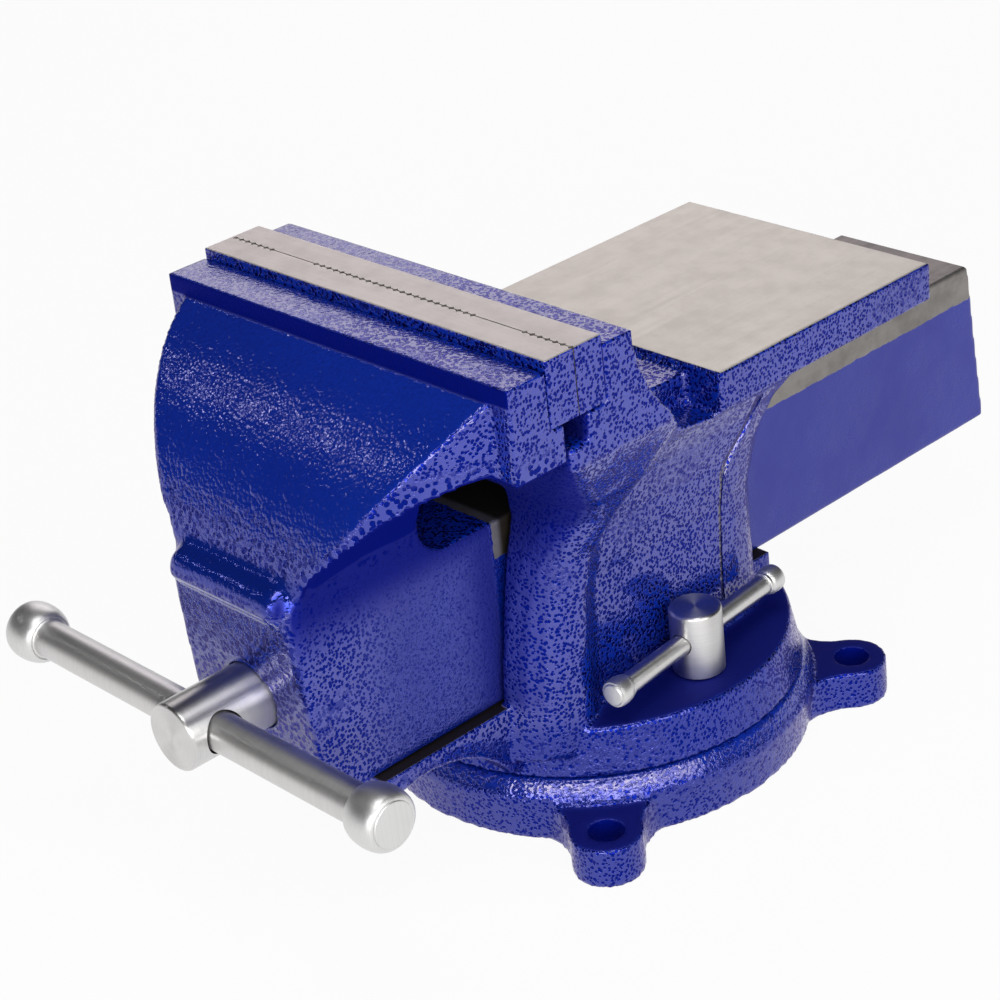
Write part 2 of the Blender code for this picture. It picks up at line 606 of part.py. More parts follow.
def make_swivel_body(swivel):
    """Fixed casting: disc, column, fixed jaw and anvil, with the channel for the slide."""
    body = loft("swivel_body", [body_ring(*level) for level in BODY_LEVEL_SHARES])
    part(body, PAINT, swivel)
    jaw = extruded("fixed_jaw_shape", fixed_jaw_outline(), 'X', -JAW_HALF, JAW_HALF)
    shape(body, jaw, 'UNION')
    web_air = extruded("web_air", saddle_outline(WEB_TOP, WEB_START_SHARE), 'X',
                       -JAW_HALF - OVERRUN, JAW_HALF + OVERRUN)
    shape(body, web_air)
    for side in (-1, 1):
        near, far = sorted((side * WEB_HALF, side * (JAW_HALF + OVERRUN)))
        notch = extruded(f"notch_{side}", saddle_outline(NOTCH_FLOOR, NOTCH_START_SHARE), 'X', near, far)
        shape(body, notch)
    anvil = block("anvil_shape", (-ANVIL_HALF, ANVIL_FRONT, ANVIL_TOP - ANVIL_THICKNESS),
                  (ANVIL_HALF, ANVIL_REAR, ANVIL_TOP))
    shape(body, anvil, 'UNION')
    disc_profile = [(0, DISC_TOP), (DISC_TOP_RADIUS - EDGE_BREAK, DISC_TOP),
                    (DISC_TOP_RADIUS, DISC_TOP - EDGE_BREAK), (DISC_FOOT_RADIUS, DISC_BOTTOM),
                    (0, DISC_BOTTOM)]
    disc = turned("disc_shape", disc_profile, (0, 0, 0), steps=LARGE_STEPS)
    shape(body, disc, 'UNION')
    ways = extruded("ways_shape", ways_outline(), 'X', -WAYS_HALF, WAYS_HALF)
    shape(body, ways, 'UNION')
    channel_half = SLIDE_HALF + CHANNEL_GAP
    channel = block("slide_channel", (-channel_half, -WAYS_FRONT - OVERRUN, WAYS_TOP),
                    (channel_half, ANVIL_REAR + OVERRUN, SLIDE_TOP + RUNNING_GAP))
    shape(body, channel)
    mouth_half = channel_half - FIT_GAP
    mouth = block("channel_mouth", (-mouth_half, -WAYS_FRONT - OVERRUN, SLIDE_TOP - OVERRUN),
                  (mouth_half, -MOUTH_END, SLIDE_TOP + MOUTH_RISE))
    shape(body, mouth)
    bore = rod("pivot_bore", PIVOT_RADIUS + FIT_GAP, (0, 0, BASE_HEIGHT - OVERRUN),
               (0, 0, BASE_HEIGHT + PIVOT_HEIGHT + FIT_GAP), MEDIUM_STEPS, HOLE_TURN)
    shape(body, bore)
    for side in (-1, 1):
        x = side * LOCK_OFFSET
        hole = rod(f"lock_hole_{side}", LOCK_SHANK_RADIUS + FIT_GAP, (x, 0, BASE_HEIGHT - OVERRUN),
                   (x, 0, DISC_TOP + OVERRUN), turn=HOLE_TURN)
        shape(body, hole)
    recess_top = DISC_BOTTOM + FIT_GAP + NUT_BOLT_HEAD + FIT_GAP
    recess = rod("nut_bolt_recess", NUT_BOLT_HEAD_RADIUS + EDGE_BREAK,
                 (0, NUT_BOLT_PLACE, BASE_HEIGHT - OVERRUN), (0, NUT_BOLT_PLACE, recess_top))
    shape(body, recess)
    bolt_hole = rod("nut_bolt_hole", NUT_BOLT_RADIUS + FIT_GAP,
                    (0, NUT_BOLT_PLACE, recess_top - OVERRUN), (0, NUT_BOLT_PLACE, WAYS_TOP + OVERRUN))
    shape(body, bolt_hole)
    cut_plate_screw_holes(body, JAW_LINE, 1)
    return body


def plate_screw_places():
    return [(side * PLATE_SCREW_SPACING / 2, PLATE_MIDDLE) for side in (-1, 1)]


def cut_plate_screw_holes(target, face, inward):
    """Holes for the shanks of the plate screws, from the jaw line into a casting or plate."""
    for index, (x, z) in enumerate(plate_screw_places()):
        end = face + inward * (PLATE_SCREW_SINK + PLATE_SCREW_LENGTH + FIT_GAP)
        hole = rod(f"{target.name}_screw_hole_{index}", PLATE_SCREW_RADIUS + FIT_GAP,
                   (x, face - inward * OVERRUN, z), (x, end, z), turn=HOLE_TURN)
        shape(target, hole)


def core_outline():
    """Side view of the slide with the neck that rises to the moving jaw."""
    back = MOVING_FRONT + NECK_OVERLAP
    neck = [tuple(point) for point in arc((back + NECK_FILLET, SLIDE_TOP),
                                          (back, SLIDE_TOP + NECK_FILLET), QUARTER_BULGE,
                                          CORNER_STEPS)]
    under_block = BLOCK_BOTTOM + OVERRUN
    run = APRON_LIP_REACH + MOVING_FRONT
    drop = APRON_UNDERSIDE - APRON_LIP_BOTTOM
    return [
        (-NOSE_REACH + NOSE_SLANT, SLIDE_BOTTOM), (SLIDE_REAR + SLIDE_REAR_SLANT, SLIDE_BOTTOM),
        (SLIDE_REAR, SLIDE_TOP), *neck, (back, under_block),
        *[(MOVING_FRONT - run * along, APRON_LIP_BOTTOM + drop * up) for along, up in NECK_SHARES],
        (-NOSE_REACH, NOSE_HEIGHT),
    ]


def core_plan():
    """Top view of the slide, with the rounded corners of its front."""
    half = SLIDE_HALF - WELD
    corner = arc((half, -NOSE_REACH + NOSE_ROUND), (half - NOSE_ROUND, -NOSE_REACH - WELD),
                 QUARTER_BULGE, CORNER_STEPS)
    side = [(SLIDE_HALF, SLIDE_REAR + SLIDE_REAR_SLANT + OVERRUN)] + [tuple(point) for point in corner]
    return side + mirrored(side)


def underside_arc():
    """Points (y, z) of the apron's hollowed underside, front to back."""
    return arc((-APRON_LIP_REACH + EDGE_BREAK, APRON_LIP_BOTTOM), (MOVING_FRONT, APRON_UNDERSIDE),
               APRON_UNDERSIDE_BULGE_SHARE)


def apron_sweep():
    """Points (x, y) of the apron's side in top view, back to front."""
    return arc((APRON_HALF, MOVING_FRONT + EDGE_BREAK), (ROLL_HALF, -ROLL_REACH),
               APRON_PLAN_BULGE_SHARE)


def apron_outline():
    """Side view of the apron: its round front and its hollowed underside."""
    inside = MOVING_FRONT + APRON_OVERLAP
    front = arc((MOVING_FRONT, APRON_TOP), (-APRON_LIP_REACH, APRON_LIP_TOP), -APRON_BULGE_SHARE)
    return ([(inside, APRON_TOP)] + [tuple(point) for point in front]
            + [tuple(point) for point in underside_arc()] + [(inside, APRON_UNDERSIDE)])


def apron_plan():
    """Top view of the apron, which narrows to the roll in round sweeps."""
    inside = MOVING_FRONT + APRON_OVERLAP
    side = [(APRON_HALF, inside + OVERRUN)] + [tuple(point) for point in apron_sweep()]
    side.append((ROLL_HALF, -ROLL_REACH - ROLL_RADIUS))
    return side + mirrored(side)


def reading(points, place):
    """Value of a curve at a place, from its (place, value) points in rising order."""
    for (low, start), (high, end) in zip(points, points[1:]):
        if place <= high:
            return lerp(start, end, max(0, (place - low) / (high - low)))
    return points[-1][1]


def flare_rings(side):
    """Upright sections of the round flare from the slide's flank out under the apron."""
    ceilings = [tuple(point) for point in underside_arc()]
    widths = [(y, x) for x, y in reversed(apron_sweep())]
    back = MOVING_FRONT + NECK_OVERLAP / 2
    rings = []
    for step in range(ARC_STEPS + 1):
        y = lerp(-APRON_LIP_REACH + EDGE_BREAK, back, step / ARC_STEPS)
        overhang = reading(widths, y) - SLIDE_HALF
        if overhang < FLARE_LEAST:
            continue
        ceiling = min(reading(ceilings, y), BLOCK_BOTTOM)
        reach = overhang * FLARE_SHARE
        rise = ceiling - FLARE_FOOT
        ring = [(SLIDE_HALF - FLARE_SINK, ceiling + FLARE_SINK),
                (SLIDE_HALF - FLARE_SINK, FLARE_FOOT)]
        for part_step in range(1, CORNER_STEPS + 2):
            turn = part_step / (CORNER_STEPS + 1) * math.pi / 2
            ring.append((SLIDE_HALF + reach * (1 - math.cos(turn)), FLARE_FOOT + rise * math.sin(turn)))
        ring.append((SLIDE_HALF + reach, ceiling + FLARE_SINK))
        rings.append([(side * x, y, z) for x, z in ring])
    return rings


def make_moving_jaw(slide):
    """Moving casting: jaw block, apron, roll and hollow slide."""
    seat = JAW_LINE - PLATE_DEPTH - FIT_GAP
    jaw_outline = [(MOVING_BACK, BLOCK_BOTTOM), (MOVING_BACK, SEAT_TOP), (seat, SEAT_TOP),
                   (seat, JAW_TOP), (MOVING_FRONT, JAW_TOP), (MOVING_FRONT, BLOCK_BOTTOM)]
    jaw = extruded("moving_jaw", jaw_outline, 'X', -JAW_HALF, JAW_HALF)
    part(jaw, PAINT, slide)
    apron = extruded("apron_shape", apron_outline(), 'X', -JAW_HALF, JAW_HALF)
    plan = extruded("apron_plan", apron_plan(), 'Z', NOSE_HEIGHT - OVERRUN, JAW_TOP + OVERRUN)
    apron.parent = None
    shape(apron, plan, 'INTERSECT')
    shape(jaw, apron, 'UNION')
    core = extruded("slide_shape", core_outline(), 'X', -SLIDE_HALF, SLIDE_HALF)
    core_top_view = extruded("slide_plan", core_plan(), 'Z', SLIDE_BOTTOM - OVERRUN, JAW_TOP)
    shape(core, core_top_view, 'INTERSECT')
    shape(jaw, core, 'UNION')
    for side in (-1, 1):
        shape(jaw, loft(f"flare_{side}", flare_rings(side)), 'UNION')
    half_flat = ROLL_HALF - ROLL_RADIUS / 2
    roll_end = [(ROLL_RADIUS * wide, lerp(half_flat, ROLL_HALF, out)) for wide, out in ROLL_END_SHARES]
    roll_profile = ([(0, ROLL_HALF)] + roll_end
                    + [(radius, -height) for radius, height in reversed(roll_end)] + [(0, -ROLL_HALF)])
    roll = turned("roll_shape", roll_profile, (0, -ROLL_REACH, ROLL_HEIGHT), (1, 0, 0), SMALL_STEPS)
    shape(jaw, roll, 'UNION')
    cavity = block("slide_cavity", (-CAVITY_HALF, FRONT_WALL_BACK, SLIDE_BOTTOM - OVERRUN),
                   (CAVITY_HALF, SLIDE_REAR + SLIDE_REAR_SLANT + OVERRUN, CAVITY_TOP))
    shape(jaw, cavity)
    pocket = rod("head_pocket", SCREW_HEAD_RADIUS + FIT_GAP, (0, -NOSE_REACH - OVERRUN, SCREW_HEIGHT),
                 (0, HEAD_POCKET_FLOOR, SCREW_HEIGHT), MEDIUM_STEPS)
    shape(jaw, pocket)
    hole = rod("screw_hole", SCREW_RADIUS + FIT_GAP, (0, HEAD_POCKET_FLOOR - OVERRUN, SCREW_HEIGHT),
               (0, FRONT_WALL_BACK + OVERRUN, SCREW_HEIGHT), MEDIUM_STEPS)
    shape(jaw, hole)
    cut_plate_screw_holes(jaw, JAW_LINE, -1)


def plate_outline(face, inward):
    """Top view of a jaw plate: upright grooves in the face that grips, none at the screws."""
    back = face + inward * PLATE_DEPTH
    tooth_count = round(2 * JAW_HALF / TOOTH_PITCH)
    pitch = 2 * JAW_HALF / tooth_count
    land = pitch * TOOTH_LAND_SHARE
    points = [(JAW_HALF, back), (-JAW_HALF, back)]
    plain = PLATE_SCREW_HEAD_RADIUS + CAST_ROUND
    for index in range(tooth_count):
        left = -JAW_HALF + index * pitch
        points.append((left, face))
        from_screw = abs(abs(left + pitch / 2) - PLATE_SCREW_SPACING / 2)
        if from_screw > plain:
            points.append((left + land, face))
            points.append((left + (land + pitch) / 2, face + inward * TOOTH_DEPTH))
    points.append((JAW_HALF, face))
    return points


def make_jaw_plate(name, inward, parent):
    """Hardened jaw plate and the two socket screws that hold it."""
    face = JAW_LINE + inward * PLATE_GAP / 2
    bottom = PLATE_BOTTOM
    plate = extruded(f"{name}_jaw_plate", plate_outline(face, inward), 'Z', bottom, PLATE_TOP)
    part(plate, GROUND, parent)
    sink = face + inward * PLATE_SCREW_SINK
    head_end = sink + inward * PLATE_SCREW_HEAD
    tip = sink + inward * PLATE_SCREW_LENGTH
    for side, (x, z) in zip(("left", "right"), plate_screw_places()):
        recess = rod(f"{name}_head_recess_{side}", PLATE_SCREW_HEAD_RADIUS + FIT_GAP,
                     (x, face - inward * OVERRUN, z), (x, head_end + inward * FIT_GAP, z),
                     turn=HOLE_TURN)
        shape(plate, recess)
        screw = rod(f"{name}_plate_screw_{side}", PLATE_SCREW_HEAD_RADIUS, (x, sink, z),
                    (x, head_end, z))
        part(screw, BLACK_STEEL, parent)
        shank = rod(f"{name}_shank_{side}", PLATE_SCREW_RADIUS,
                    (x, head_end - inward * EDGE_BREAK, z), (x, tip, z))
        shape(screw, shank, 'UNION')
        socket = rod(f"{name}_socket_{side}", SOCKET_RADIUS, (x, sink - inward * OVERRUN, z),
                     (x, sink + inward * SOCKET_DEPTH, z), steps=6)
        shape(screw, socket)
    cut_plate_screw_holes(plate, JAW_LINE, inward)


def make_main_nut(swivel):
    """Nut that stands on the floor of the channel, and the bolt that holds it from below."""
    crown = SCREW_HEIGHT + NUT_CROWN
    outline = [(-NUT_FRONT, WAYS_TOP + FIT_GAP), (-NUT_FRONT + NUT_LENGTH, WAYS_TOP + FIT_GAP),
               (-NUT_FRONT + NUT_LENGTH, crown - CAST_ROUND),
               (-NUT_FRONT + NUT_LENGTH - CAST_ROUND, crown), (-NUT_FRONT + CAST_ROUND, crown),
               (-NUT_FRONT, crown - CAST_ROUND)]
    nut = extruded("main_nut", outline, 'X', -NUT_HALF, NUT_HALF)
    part(nut, MACHINED_IRON, swivel)
    bore = rod("nut_bore", SCREW_RADIUS + FIT_GAP, (0, -NUT_FRONT - OVERRUN, SCREW_HEIGHT),
               (0, -NUT_FRONT + NUT_LENGTH + OVERRUN, SCREW_HEIGHT), MEDIUM_STEPS)
    shape(nut, bore)
    tapped = rod("nut_tapped_hole", NUT_BOLT_RADIUS + FIT_GAP, (0, NUT_BOLT_PLACE, WAYS_TOP - OVERRUN),
                 (0, NUT_BOLT_PLACE, NUT_BOLT_TOP + FIT_GAP))
    shape(nut, tapped)
    head_bottom = DISC_BOTTOM + FIT_GAP
    head_top = head_bottom + NUT_BOLT_HEAD
    bolt = rod("nut_bolt", NUT_BOLT_HEAD_RADIUS, (0, NUT_BOLT_PLACE, head_bottom),
               (0, NUT_BOLT_PLACE, head_top), steps=6)
    part(bolt, BLACK_STEEL, swivel)
    shank = rod("nut_bolt_shank", NUT_BOLT_RADIUS, (0, NUT_BOLT_PLACE, head_top - EDGE_BREAK),
                (0, NUT_BOLT_PLACE, NUT_BOLT_TOP))
    shape(bolt, shank, 'UNION')


def make_main_screw(screw):
    """Main screw with its cross-drilled head, built along +Z and aimed forward."""
    face = SCREW_HEAD_FACE - HANDLE_REACH
    shoulder = -HEAD_SHOULDER - HANDLE_REACH
    tip = -SCREW_TIP - HANDLE_REACH
    profile = [(0, face), (SCREW_HEAD_RADIUS - EDGE_BREAK, face),
               (SCREW_HEAD_RADIUS, face - EDGE_BREAK), (SCREW_HEAD_RADIUS, shoulder),
               (SCREW_RADIUS, shoulder), (SCREW_RADIUS, tip + SCREW_RADIUS / 4),
               (SCREW_RADIUS * 3 / 4, tip), (0, tip)]
    main = turned("main_screw", profile, SCREW_CENTRE, (0, -1, 0))
    part(main, TURNED, screw)
    cross = SCREW_HEAD_RADIUS + OVERRUN
    hole = rod("handle_hole", HANDLE_HOLE_RADIUS, SCREW_CENTRE - Vector((cross, 0, 0)),
               SCREW_CENTRE + Vector((cross, 0, 0)))
    shape(main, hole)
    pin_place = Vector((0, pin_position(), SCREW_HEIGHT))
    lift = Vector((0, 0, SCREW_RADIUS + OVERRUN))
    pin_hole = rod("pin_hole", PIN_RADIUS + FIT_GAP, pin_place - lift, pin_place + lift)
    shape(main, pin_hole)


def washer_start():
    return FRONT_WALL_BACK + FIT_GAP


def spring_start():
    return washer_start() + WASHER_THICKNESS + FIT_GAP


def collar_start():
    return spring_start() + SPRING_LENGTH + FIT_GAP


def pin_position():
    return collar_start() + COLLAR_LENGTH + FIT_GAP + PIN_RADIUS


def make_ring(name, start, length, parent):
    """Plain ring on the main screw."""
    ring = rod(name, WASHER_RADIUS, (0, start, SCREW_HEIGHT), (0, start + length, SCREW_HEIGHT),
               MEDIUM_STEPS)
    part(ring, BLACK_STEEL, parent)
    bore = rod(f"{name}_bore", SCREW_RADIUS + FIT_GAP, (0, start - OVERRUN, SCREW_HEIGHT),
               (0, start + length + OVERRUN, SCREW_HEIGHT), MEDIUM_STEPS)
    shape(ring, bore)


def make_retainers(slide, screw):
    """Washer, spring, collar and split pin that draw the moving jaw back with the screw."""
    make_ring("thrust_washer", washer_start(), WASHER_THICKNESS, slide)
    make_ring("retaining_collar", collar_start(), COLLAR_LENGTH, screw)
    run = SPRING_LENGTH - 2 * SPRING_WIRE_RADIUS
    count = SPRING_TURNS * SPIRAL_STEPS
    points = []
    for step in range(count + 1):
        turn = step / SPIRAL_STEPS * math.tau
        points.append((SPRING_COIL_RADIUS * math.cos(turn), run * step / count,
                       SPRING_COIL_RADIUS * math.sin(turn)))
    spring = wire("release_spring", points, SPRING_WIRE_RADIUS,
                  (0, spring_start() + SPRING_WIRE_RADIUS, SCREW_HEIGHT))
    part(spring, SPRING_STEEL, slide)
    foot = -PIN_LENGTH / 2
    eye = PIN_LENGTH / 2 + PIN_EYE_RADIUS
    loop = []
    for step in range(SPIRAL_STEPS - 1):
        turn = math.tau * step / SPIRAL_STEPS - math.pi / 2
        loop.append((PIN_EYE_RADIUS * math.cos(turn), 0, eye + PIN_EYE_RADIUS * math.sin(turn)))
    path = [(PIN_RADIUS, 0, foot - PIN_RADIUS), (0, 0, foot)] + loop
    pin = wire("split_pin", path, PIN_RADIUS, (0, pin_position(), SCREW_HEIGHT))
    part(pin, SPRING_STEEL, screw)


def knob_profile(length, radius, flat_radius, inner_radius):
    """Rounded end of a bar, top to bottom, with its flat outer face at the top."""
    half = length / 2
    profile = [(0, half), (flat_radius, half)]
    for step in range(1, CORNER_STEPS + 2):
        turn = math.pi * step / (CORNER_STEPS + 2)
        level = math.cos(turn)
        low = flat_radius if level > 0 else inner_radius
        profile.append((lerp(low, radius, math.sin(turn)), half * level))
    profile += [(inner_radius, -half), (0, -half)]
    return profile


def make_handle(handle):
    """Sliding bar through the screw's head, with a knob on each end."""
    bar_ends = []
    for side, reach, name in ((-1, HANDLE_LEFT, "left"), (1, HANDLE_RIGHT, "right")):
        centre = SCREW_CENTRE + Vector((side * reach, 0, 0))
        inner = reach - KNOB_LENGTH / 2
        profile = knob_profile(KNOB_LENGTH, KNOB_RADIUS, KNOB_FLAT_RADIUS, KNOB_FLAT_RADIUS)
        knob = turned(f"handle_knob_{name}", profile, centre, (side, 0, 0), SMALL_STEPS)
        part(knob, TURNED, handle)
        floor = inner + KNOB_SOCKET_DEPTH
        socket = rod(f"knob_socket_{name}", HANDLE_RADIUS + FIT_GAP,
                     SCREW_CENTRE + Vector((side * (inner - OVERRUN), 0, 0)),
                     SCREW_CENTRE + Vector((side * floor, 0, 0)))
        shape(knob, socket)
        bar_ends.append(SCREW_CENTRE + Vector((side * (floor - FIT_GAP), 0, 0)))
    part(rod("handle_bar", HANDLE_RADIUS, bar_ends[0], bar_ends[1]), TURNED, handle)


def make_lock(side, name, lock, lock_bar, swivel):
    """Lock screw with its tommy bar, the bar's end caps and the nut in the T-slot."""
    axis = Vector((side * LOCK_OFFSET, 0, 0))
    nut_top = BASE_HEIGHT - SLOT_LAND - FIT_GAP
    nut_bottom = nut_top - CLAMP_NUT_HEIGHT
    head_bottom = DISC_TOP + FIT_GAP
    centre = axis + Vector((0, 0, LOCK_BAR_HEIGHT))
    profile = [(0, LOCK_HEAD_TOP), (LOCK_HEAD_RADIUS - 2 * EDGE_BREAK, LOCK_HEAD_TOP),
               (LOCK_HEAD_RADIUS, LOCK_HEAD_TOP - EDGE_BREAK), (LOCK_HEAD_RADIUS, head_bottom),
               (LOCK_SHANK_RADIUS, head_bottom), (LOCK_SHANK_RADIUS, nut_bottom + EDGE_BREAK),
               (0, nut_bottom + EDGE_BREAK)]
    local = [(radius, height - LOCK_BAR_HEIGHT) for radius, height in profile]
    screw = turned(f"lock_screw_{name}", local, centre)
    part(screw, TURNED, lock)
    aim = Vector((side * math.sin(LOCK_BAR_TURN), -math.cos(LOCK_BAR_TURN), 0))
    reach = LOCK_HEAD_RADIUS + OVERRUN
    hole = rod(f"bar_hole_{name}", LOCK_BAR_RADIUS + FIT_GAP, centre - aim * reach,
               centre + aim * reach)
    shape(screw, hole)
    cap_start = LOCK_BAR_HALF - LOCK_CAP_LENGTH
    bar_end = LOCK_BAR_HALF - LOCK_CAP_WALL - FIT_GAP
    bar = rod(f"lock_bar_{name}", LOCK_BAR_RADIUS, centre - aim * bar_end, centre + aim * bar_end)
    part(bar, TURNED, lock_bar)
    for end, end_name in ((-1, "rear"), (1, "front")):
        outward = aim * end
        neck = LOCK_BAR_RADIUS + FIT_GAP + EDGE_BREAK / 2
        profile = knob_profile(LOCK_CAP_LENGTH, LOCK_CAP_RADIUS, LOCK_CAP_RADIUS - EDGE_BREAK, neck)
        cap = turned(f"lock_bar_{name}_cap_{end_name}", profile,
                     centre + outward * (LOCK_BAR_HALF - LOCK_CAP_LENGTH / 2), outward, SMALL_STEPS)
        part(cap, TURNED, lock_bar)
        socket = rod(f"{name}_cap_socket_{end_name}", LOCK_BAR_RADIUS + FIT_GAP,
                     centre + outward * (cap_start - OVERRUN), centre + outward * (bar_end + FIT_GAP))
        shape(cap, socket)
    half_width = CLAMP_NUT_WIDTH / 2
    half_length = CLAMP_NUT_LENGTH / 2
    nut = block(f"clamp_nut_{name}", axis + Vector((-half_width, -half_length, nut_bottom)),
                axis + Vector((half_width, half_length, nut_top)))
    part(nut, BLACK_STEEL, swivel)
    thread = rod(f"clamp_nut_hole_{name}", LOCK_SHANK_RADIUS + FIT_GAP,
                 axis + Vector((0, 0, nut_bottom - OVERRUN)), axis + Vector((0, 0, nut_top + OVERRUN)))
    shape(nut, thread)


clear_scene()
PARTS = new_collection("bench_vise")
CUTTERS = new_collection("cutters")


def main():
    swivel = joint_empty("swivel_axis", (0, 0, 0))
    slide = joint_empty("jaw_slide_axis", (0, JAW_LINE, SCREW_HEIGHT), swivel)
    screw = joint_empty("screw_axis", SCREW_CENTRE, slide)
    handle = joint_empty("handle_axis", SCREW_CENTRE, screw)
    make_base()
    make_swivel_body(swivel)
    make_moving_jaw(slide)
    make_jaw_plate("fixed", 1, swivel)
    make_jaw_plate("moving", -1, slide)
    make_main_nut(swivel)
    make_main_screw(screw)
    make_retainers(slide, screw)
    make_handle(handle)
    for side, name in ((-1, "left"), (1, "right")):
        place = (side * LOCK_OFFSET, 0, LOCK_BAR_HEIGHT)
        lock = joint_empty(f"lock_axis_{name}", place, swivel)
        lock_bar = joint_empty(f"lock_bar_axis_{name}", place, lock)
        make_lock(side, name, lock, lock_bar, swivel)
    bpy.context.view_layer.update()


main()
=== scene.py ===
"""Looks of the bench vise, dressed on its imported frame. Units are metres."""

import math

import bmesh
import bpy
import numpy as np
from mathutils import Matrix, Vector, noise


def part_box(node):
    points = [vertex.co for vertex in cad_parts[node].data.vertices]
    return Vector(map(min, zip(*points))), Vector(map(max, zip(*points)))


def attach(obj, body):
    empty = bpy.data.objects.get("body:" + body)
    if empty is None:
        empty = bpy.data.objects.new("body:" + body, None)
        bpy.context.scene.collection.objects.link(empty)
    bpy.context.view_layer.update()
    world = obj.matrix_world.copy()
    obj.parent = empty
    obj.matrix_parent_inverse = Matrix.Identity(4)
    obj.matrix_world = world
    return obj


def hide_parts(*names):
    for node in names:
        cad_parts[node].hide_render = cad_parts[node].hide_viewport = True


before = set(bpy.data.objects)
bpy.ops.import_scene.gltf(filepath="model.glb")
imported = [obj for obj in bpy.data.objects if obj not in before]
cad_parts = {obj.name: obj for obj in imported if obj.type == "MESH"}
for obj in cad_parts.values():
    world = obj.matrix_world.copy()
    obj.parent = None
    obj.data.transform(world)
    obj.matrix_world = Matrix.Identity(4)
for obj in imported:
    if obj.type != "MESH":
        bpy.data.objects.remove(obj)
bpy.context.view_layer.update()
SCENE = bpy.context.scene
MM = 0.001

# Paint: colours and depths of its relief; the pit, shade and crease blues are darker blues
# painted as shade
SKIN_BLUE = (0.0024, 0.0225, 0.302)
# Painted shade: the pits are painted this darker blue
PIT_SHADE_BLUE = (0.0034, 0.0130, 0.240)
CLOUD_BLUE = (0.0018, 0.0125, 0.195)
# Painted shade: a darker blue for skin under overhangs, in holes and on faces that lie in shade
SHADE_BLUE = (0.0016, 0.0090, 0.235)
# Painted shade: a near-black blue in the lower part of the crease down the body's side
CREASE_SHADE_BLUE = (0.0010, 0.0040, 0.080)
PIT_DEPTH = 0.16 * MM
DOME_DEPTH = 0.17 * MM
CREASE_DEPTH = 4.4 * MM

# Levels of the machined faces, and of the pockets under the lock screws
SLIDE_TOP = 109 * MM
ANVIL_TOP = 134.4 * MM
WAYS_TOP = 48 * MM
POCKET_FLOOR = 37.9 * MM

# Castings: grid they are grown on, rounding of their edges and depth of their waves
VOXEL = 1 * MM
SOFT_PASSES = 3
MELT_PASSES = 14
WAVE_DEPTH = 0.08 * MM

# The bolt holes: turn of the first lug, and how far they are from the swivel's axis
LUG_TURN = math.radians(-42.7)
LUG_REACH = 87 * MM

# How far a jaw plate's back is drawn in, out of the casting's skin
PLATE_INSET = 0.3 * MM

# Lock screws and bars: turn of the bars in plan, and half lengths from the screw's axis
LOCK_BAR_TURN = math.radians(5.7)
LOCK_SHANK = 6 * MM
LOCK_ROD_HALF = 41.1 * MM
LOCK_BAR_HALF = 43 * MM
CAP_HALF = 3.75 * MM
CAP_RADIUS = 4.6 * MM


# Shader helpers

def new_material(name):
    mat = bpy.data.materials.new(name)
    mat.use_nodes = True
    tree = mat.node_tree
    shader = tree.nodes["Principled BSDF"]
    return mat, tree, shader


def put(socket, value):
    """Link a socket, or set it to a plain number or colour."""
    if hasattr(value, "is_output"):
        socket.id_data.links.new(value, socket)
    elif isinstance(value, (tuple, list)) and len(value) == 3 and len(socket.default_value) == 4:
        socket.default_value = (*value, 1)
    else:
        socket.default_value = value


def math_node(tree, operation, first, second=None, clamp=False):
    node = tree.nodes.new("ShaderNodeMath")
    node.operation = operation
    node.use_clamp = clamp
    for socket, value in zip(node.inputs, (first, second)):
        if value is not None:
            put(socket, value)
    return node.outputs[0]


def ramp(tree, value, low, high, out_low=0.0, out_high=1.0):
    node = tree.nodes.new("ShaderNodeMapRange")
    node.interpolation_type = 'SMOOTHSTEP'
    put(node.inputs["Value"], value)
    put(node.inputs["From Min"], low)
    put(node.inputs["From Max"], high)
    put(node.inputs["To Min"], out_low)
    put(node.inputs["To Max"], out_high)
    return node.outputs["Result"]


def mix_colour(tree, share, first, second):
    node = tree.nodes.new("ShaderNodeMix")
    node.data_type = 'RGBA'
    put(node.inputs[0], share)
    put(node.inputs[6], first)
    put(node.inputs[7], second)
    return node.outputs[2]


def mix_value(tree, share, first, second):
    node = tree.nodes.new("ShaderNodeMix")
    node.data_type = 'FLOAT'
    put(node.inputs[0], share)
    put(node.inputs[2], first)
    put(node.inputs[3], second)
    return node.outputs[0]


def scaled(tree, vector, scale):
    node = tree.nodes.new("ShaderNodeMapping")
    put(node.inputs["Vector"], vector)
    node.inputs["Scale"].default_value = scale
    return node.outputs[0]


def noise_node(tree, vector, scale, detail=2.0, roughness=0.5):
    node = tree.nodes.new("ShaderNodeTexNoise")
    put(node.inputs["Vector"], vector)
    node.inputs["Scale"].default_value = scale
    node.inputs["Detail"].default_value = detail
    node.inputs["Roughness"].default_value = roughness
    return node.outputs["Fac"]


def cells(tree, vector, scale, smoothness):
    node = tree.nodes.new("ShaderNodeTexVoronoi")
    node.feature = 'SMOOTH_F1'
    put(node.inputs["Vector"], vector)
    node.inputs["Scale"].default_value = scale
    node.inputs["Smoothness"].default_value = smoothness
    return node.outputs["Distance"]


def bump(tree, height, depth, normal=None):
    node = tree.nodes.new("ShaderNodeBump")
    put(node.inputs["Height"], height)
    put(node.inputs["Distance"], depth)
    if normal is not None:
        put(node.inputs["Normal"], normal)
    return node.outputs["Normal"]


def plus(tree, first, second):
    return math_node(tree, 'ADD', first, second)


def minus(tree, first, second):
    return math_node(tree, 'SUBTRACT', first, second)


def size_of(tree, value):
    return math_node(tree, 'ABSOLUTE', value)


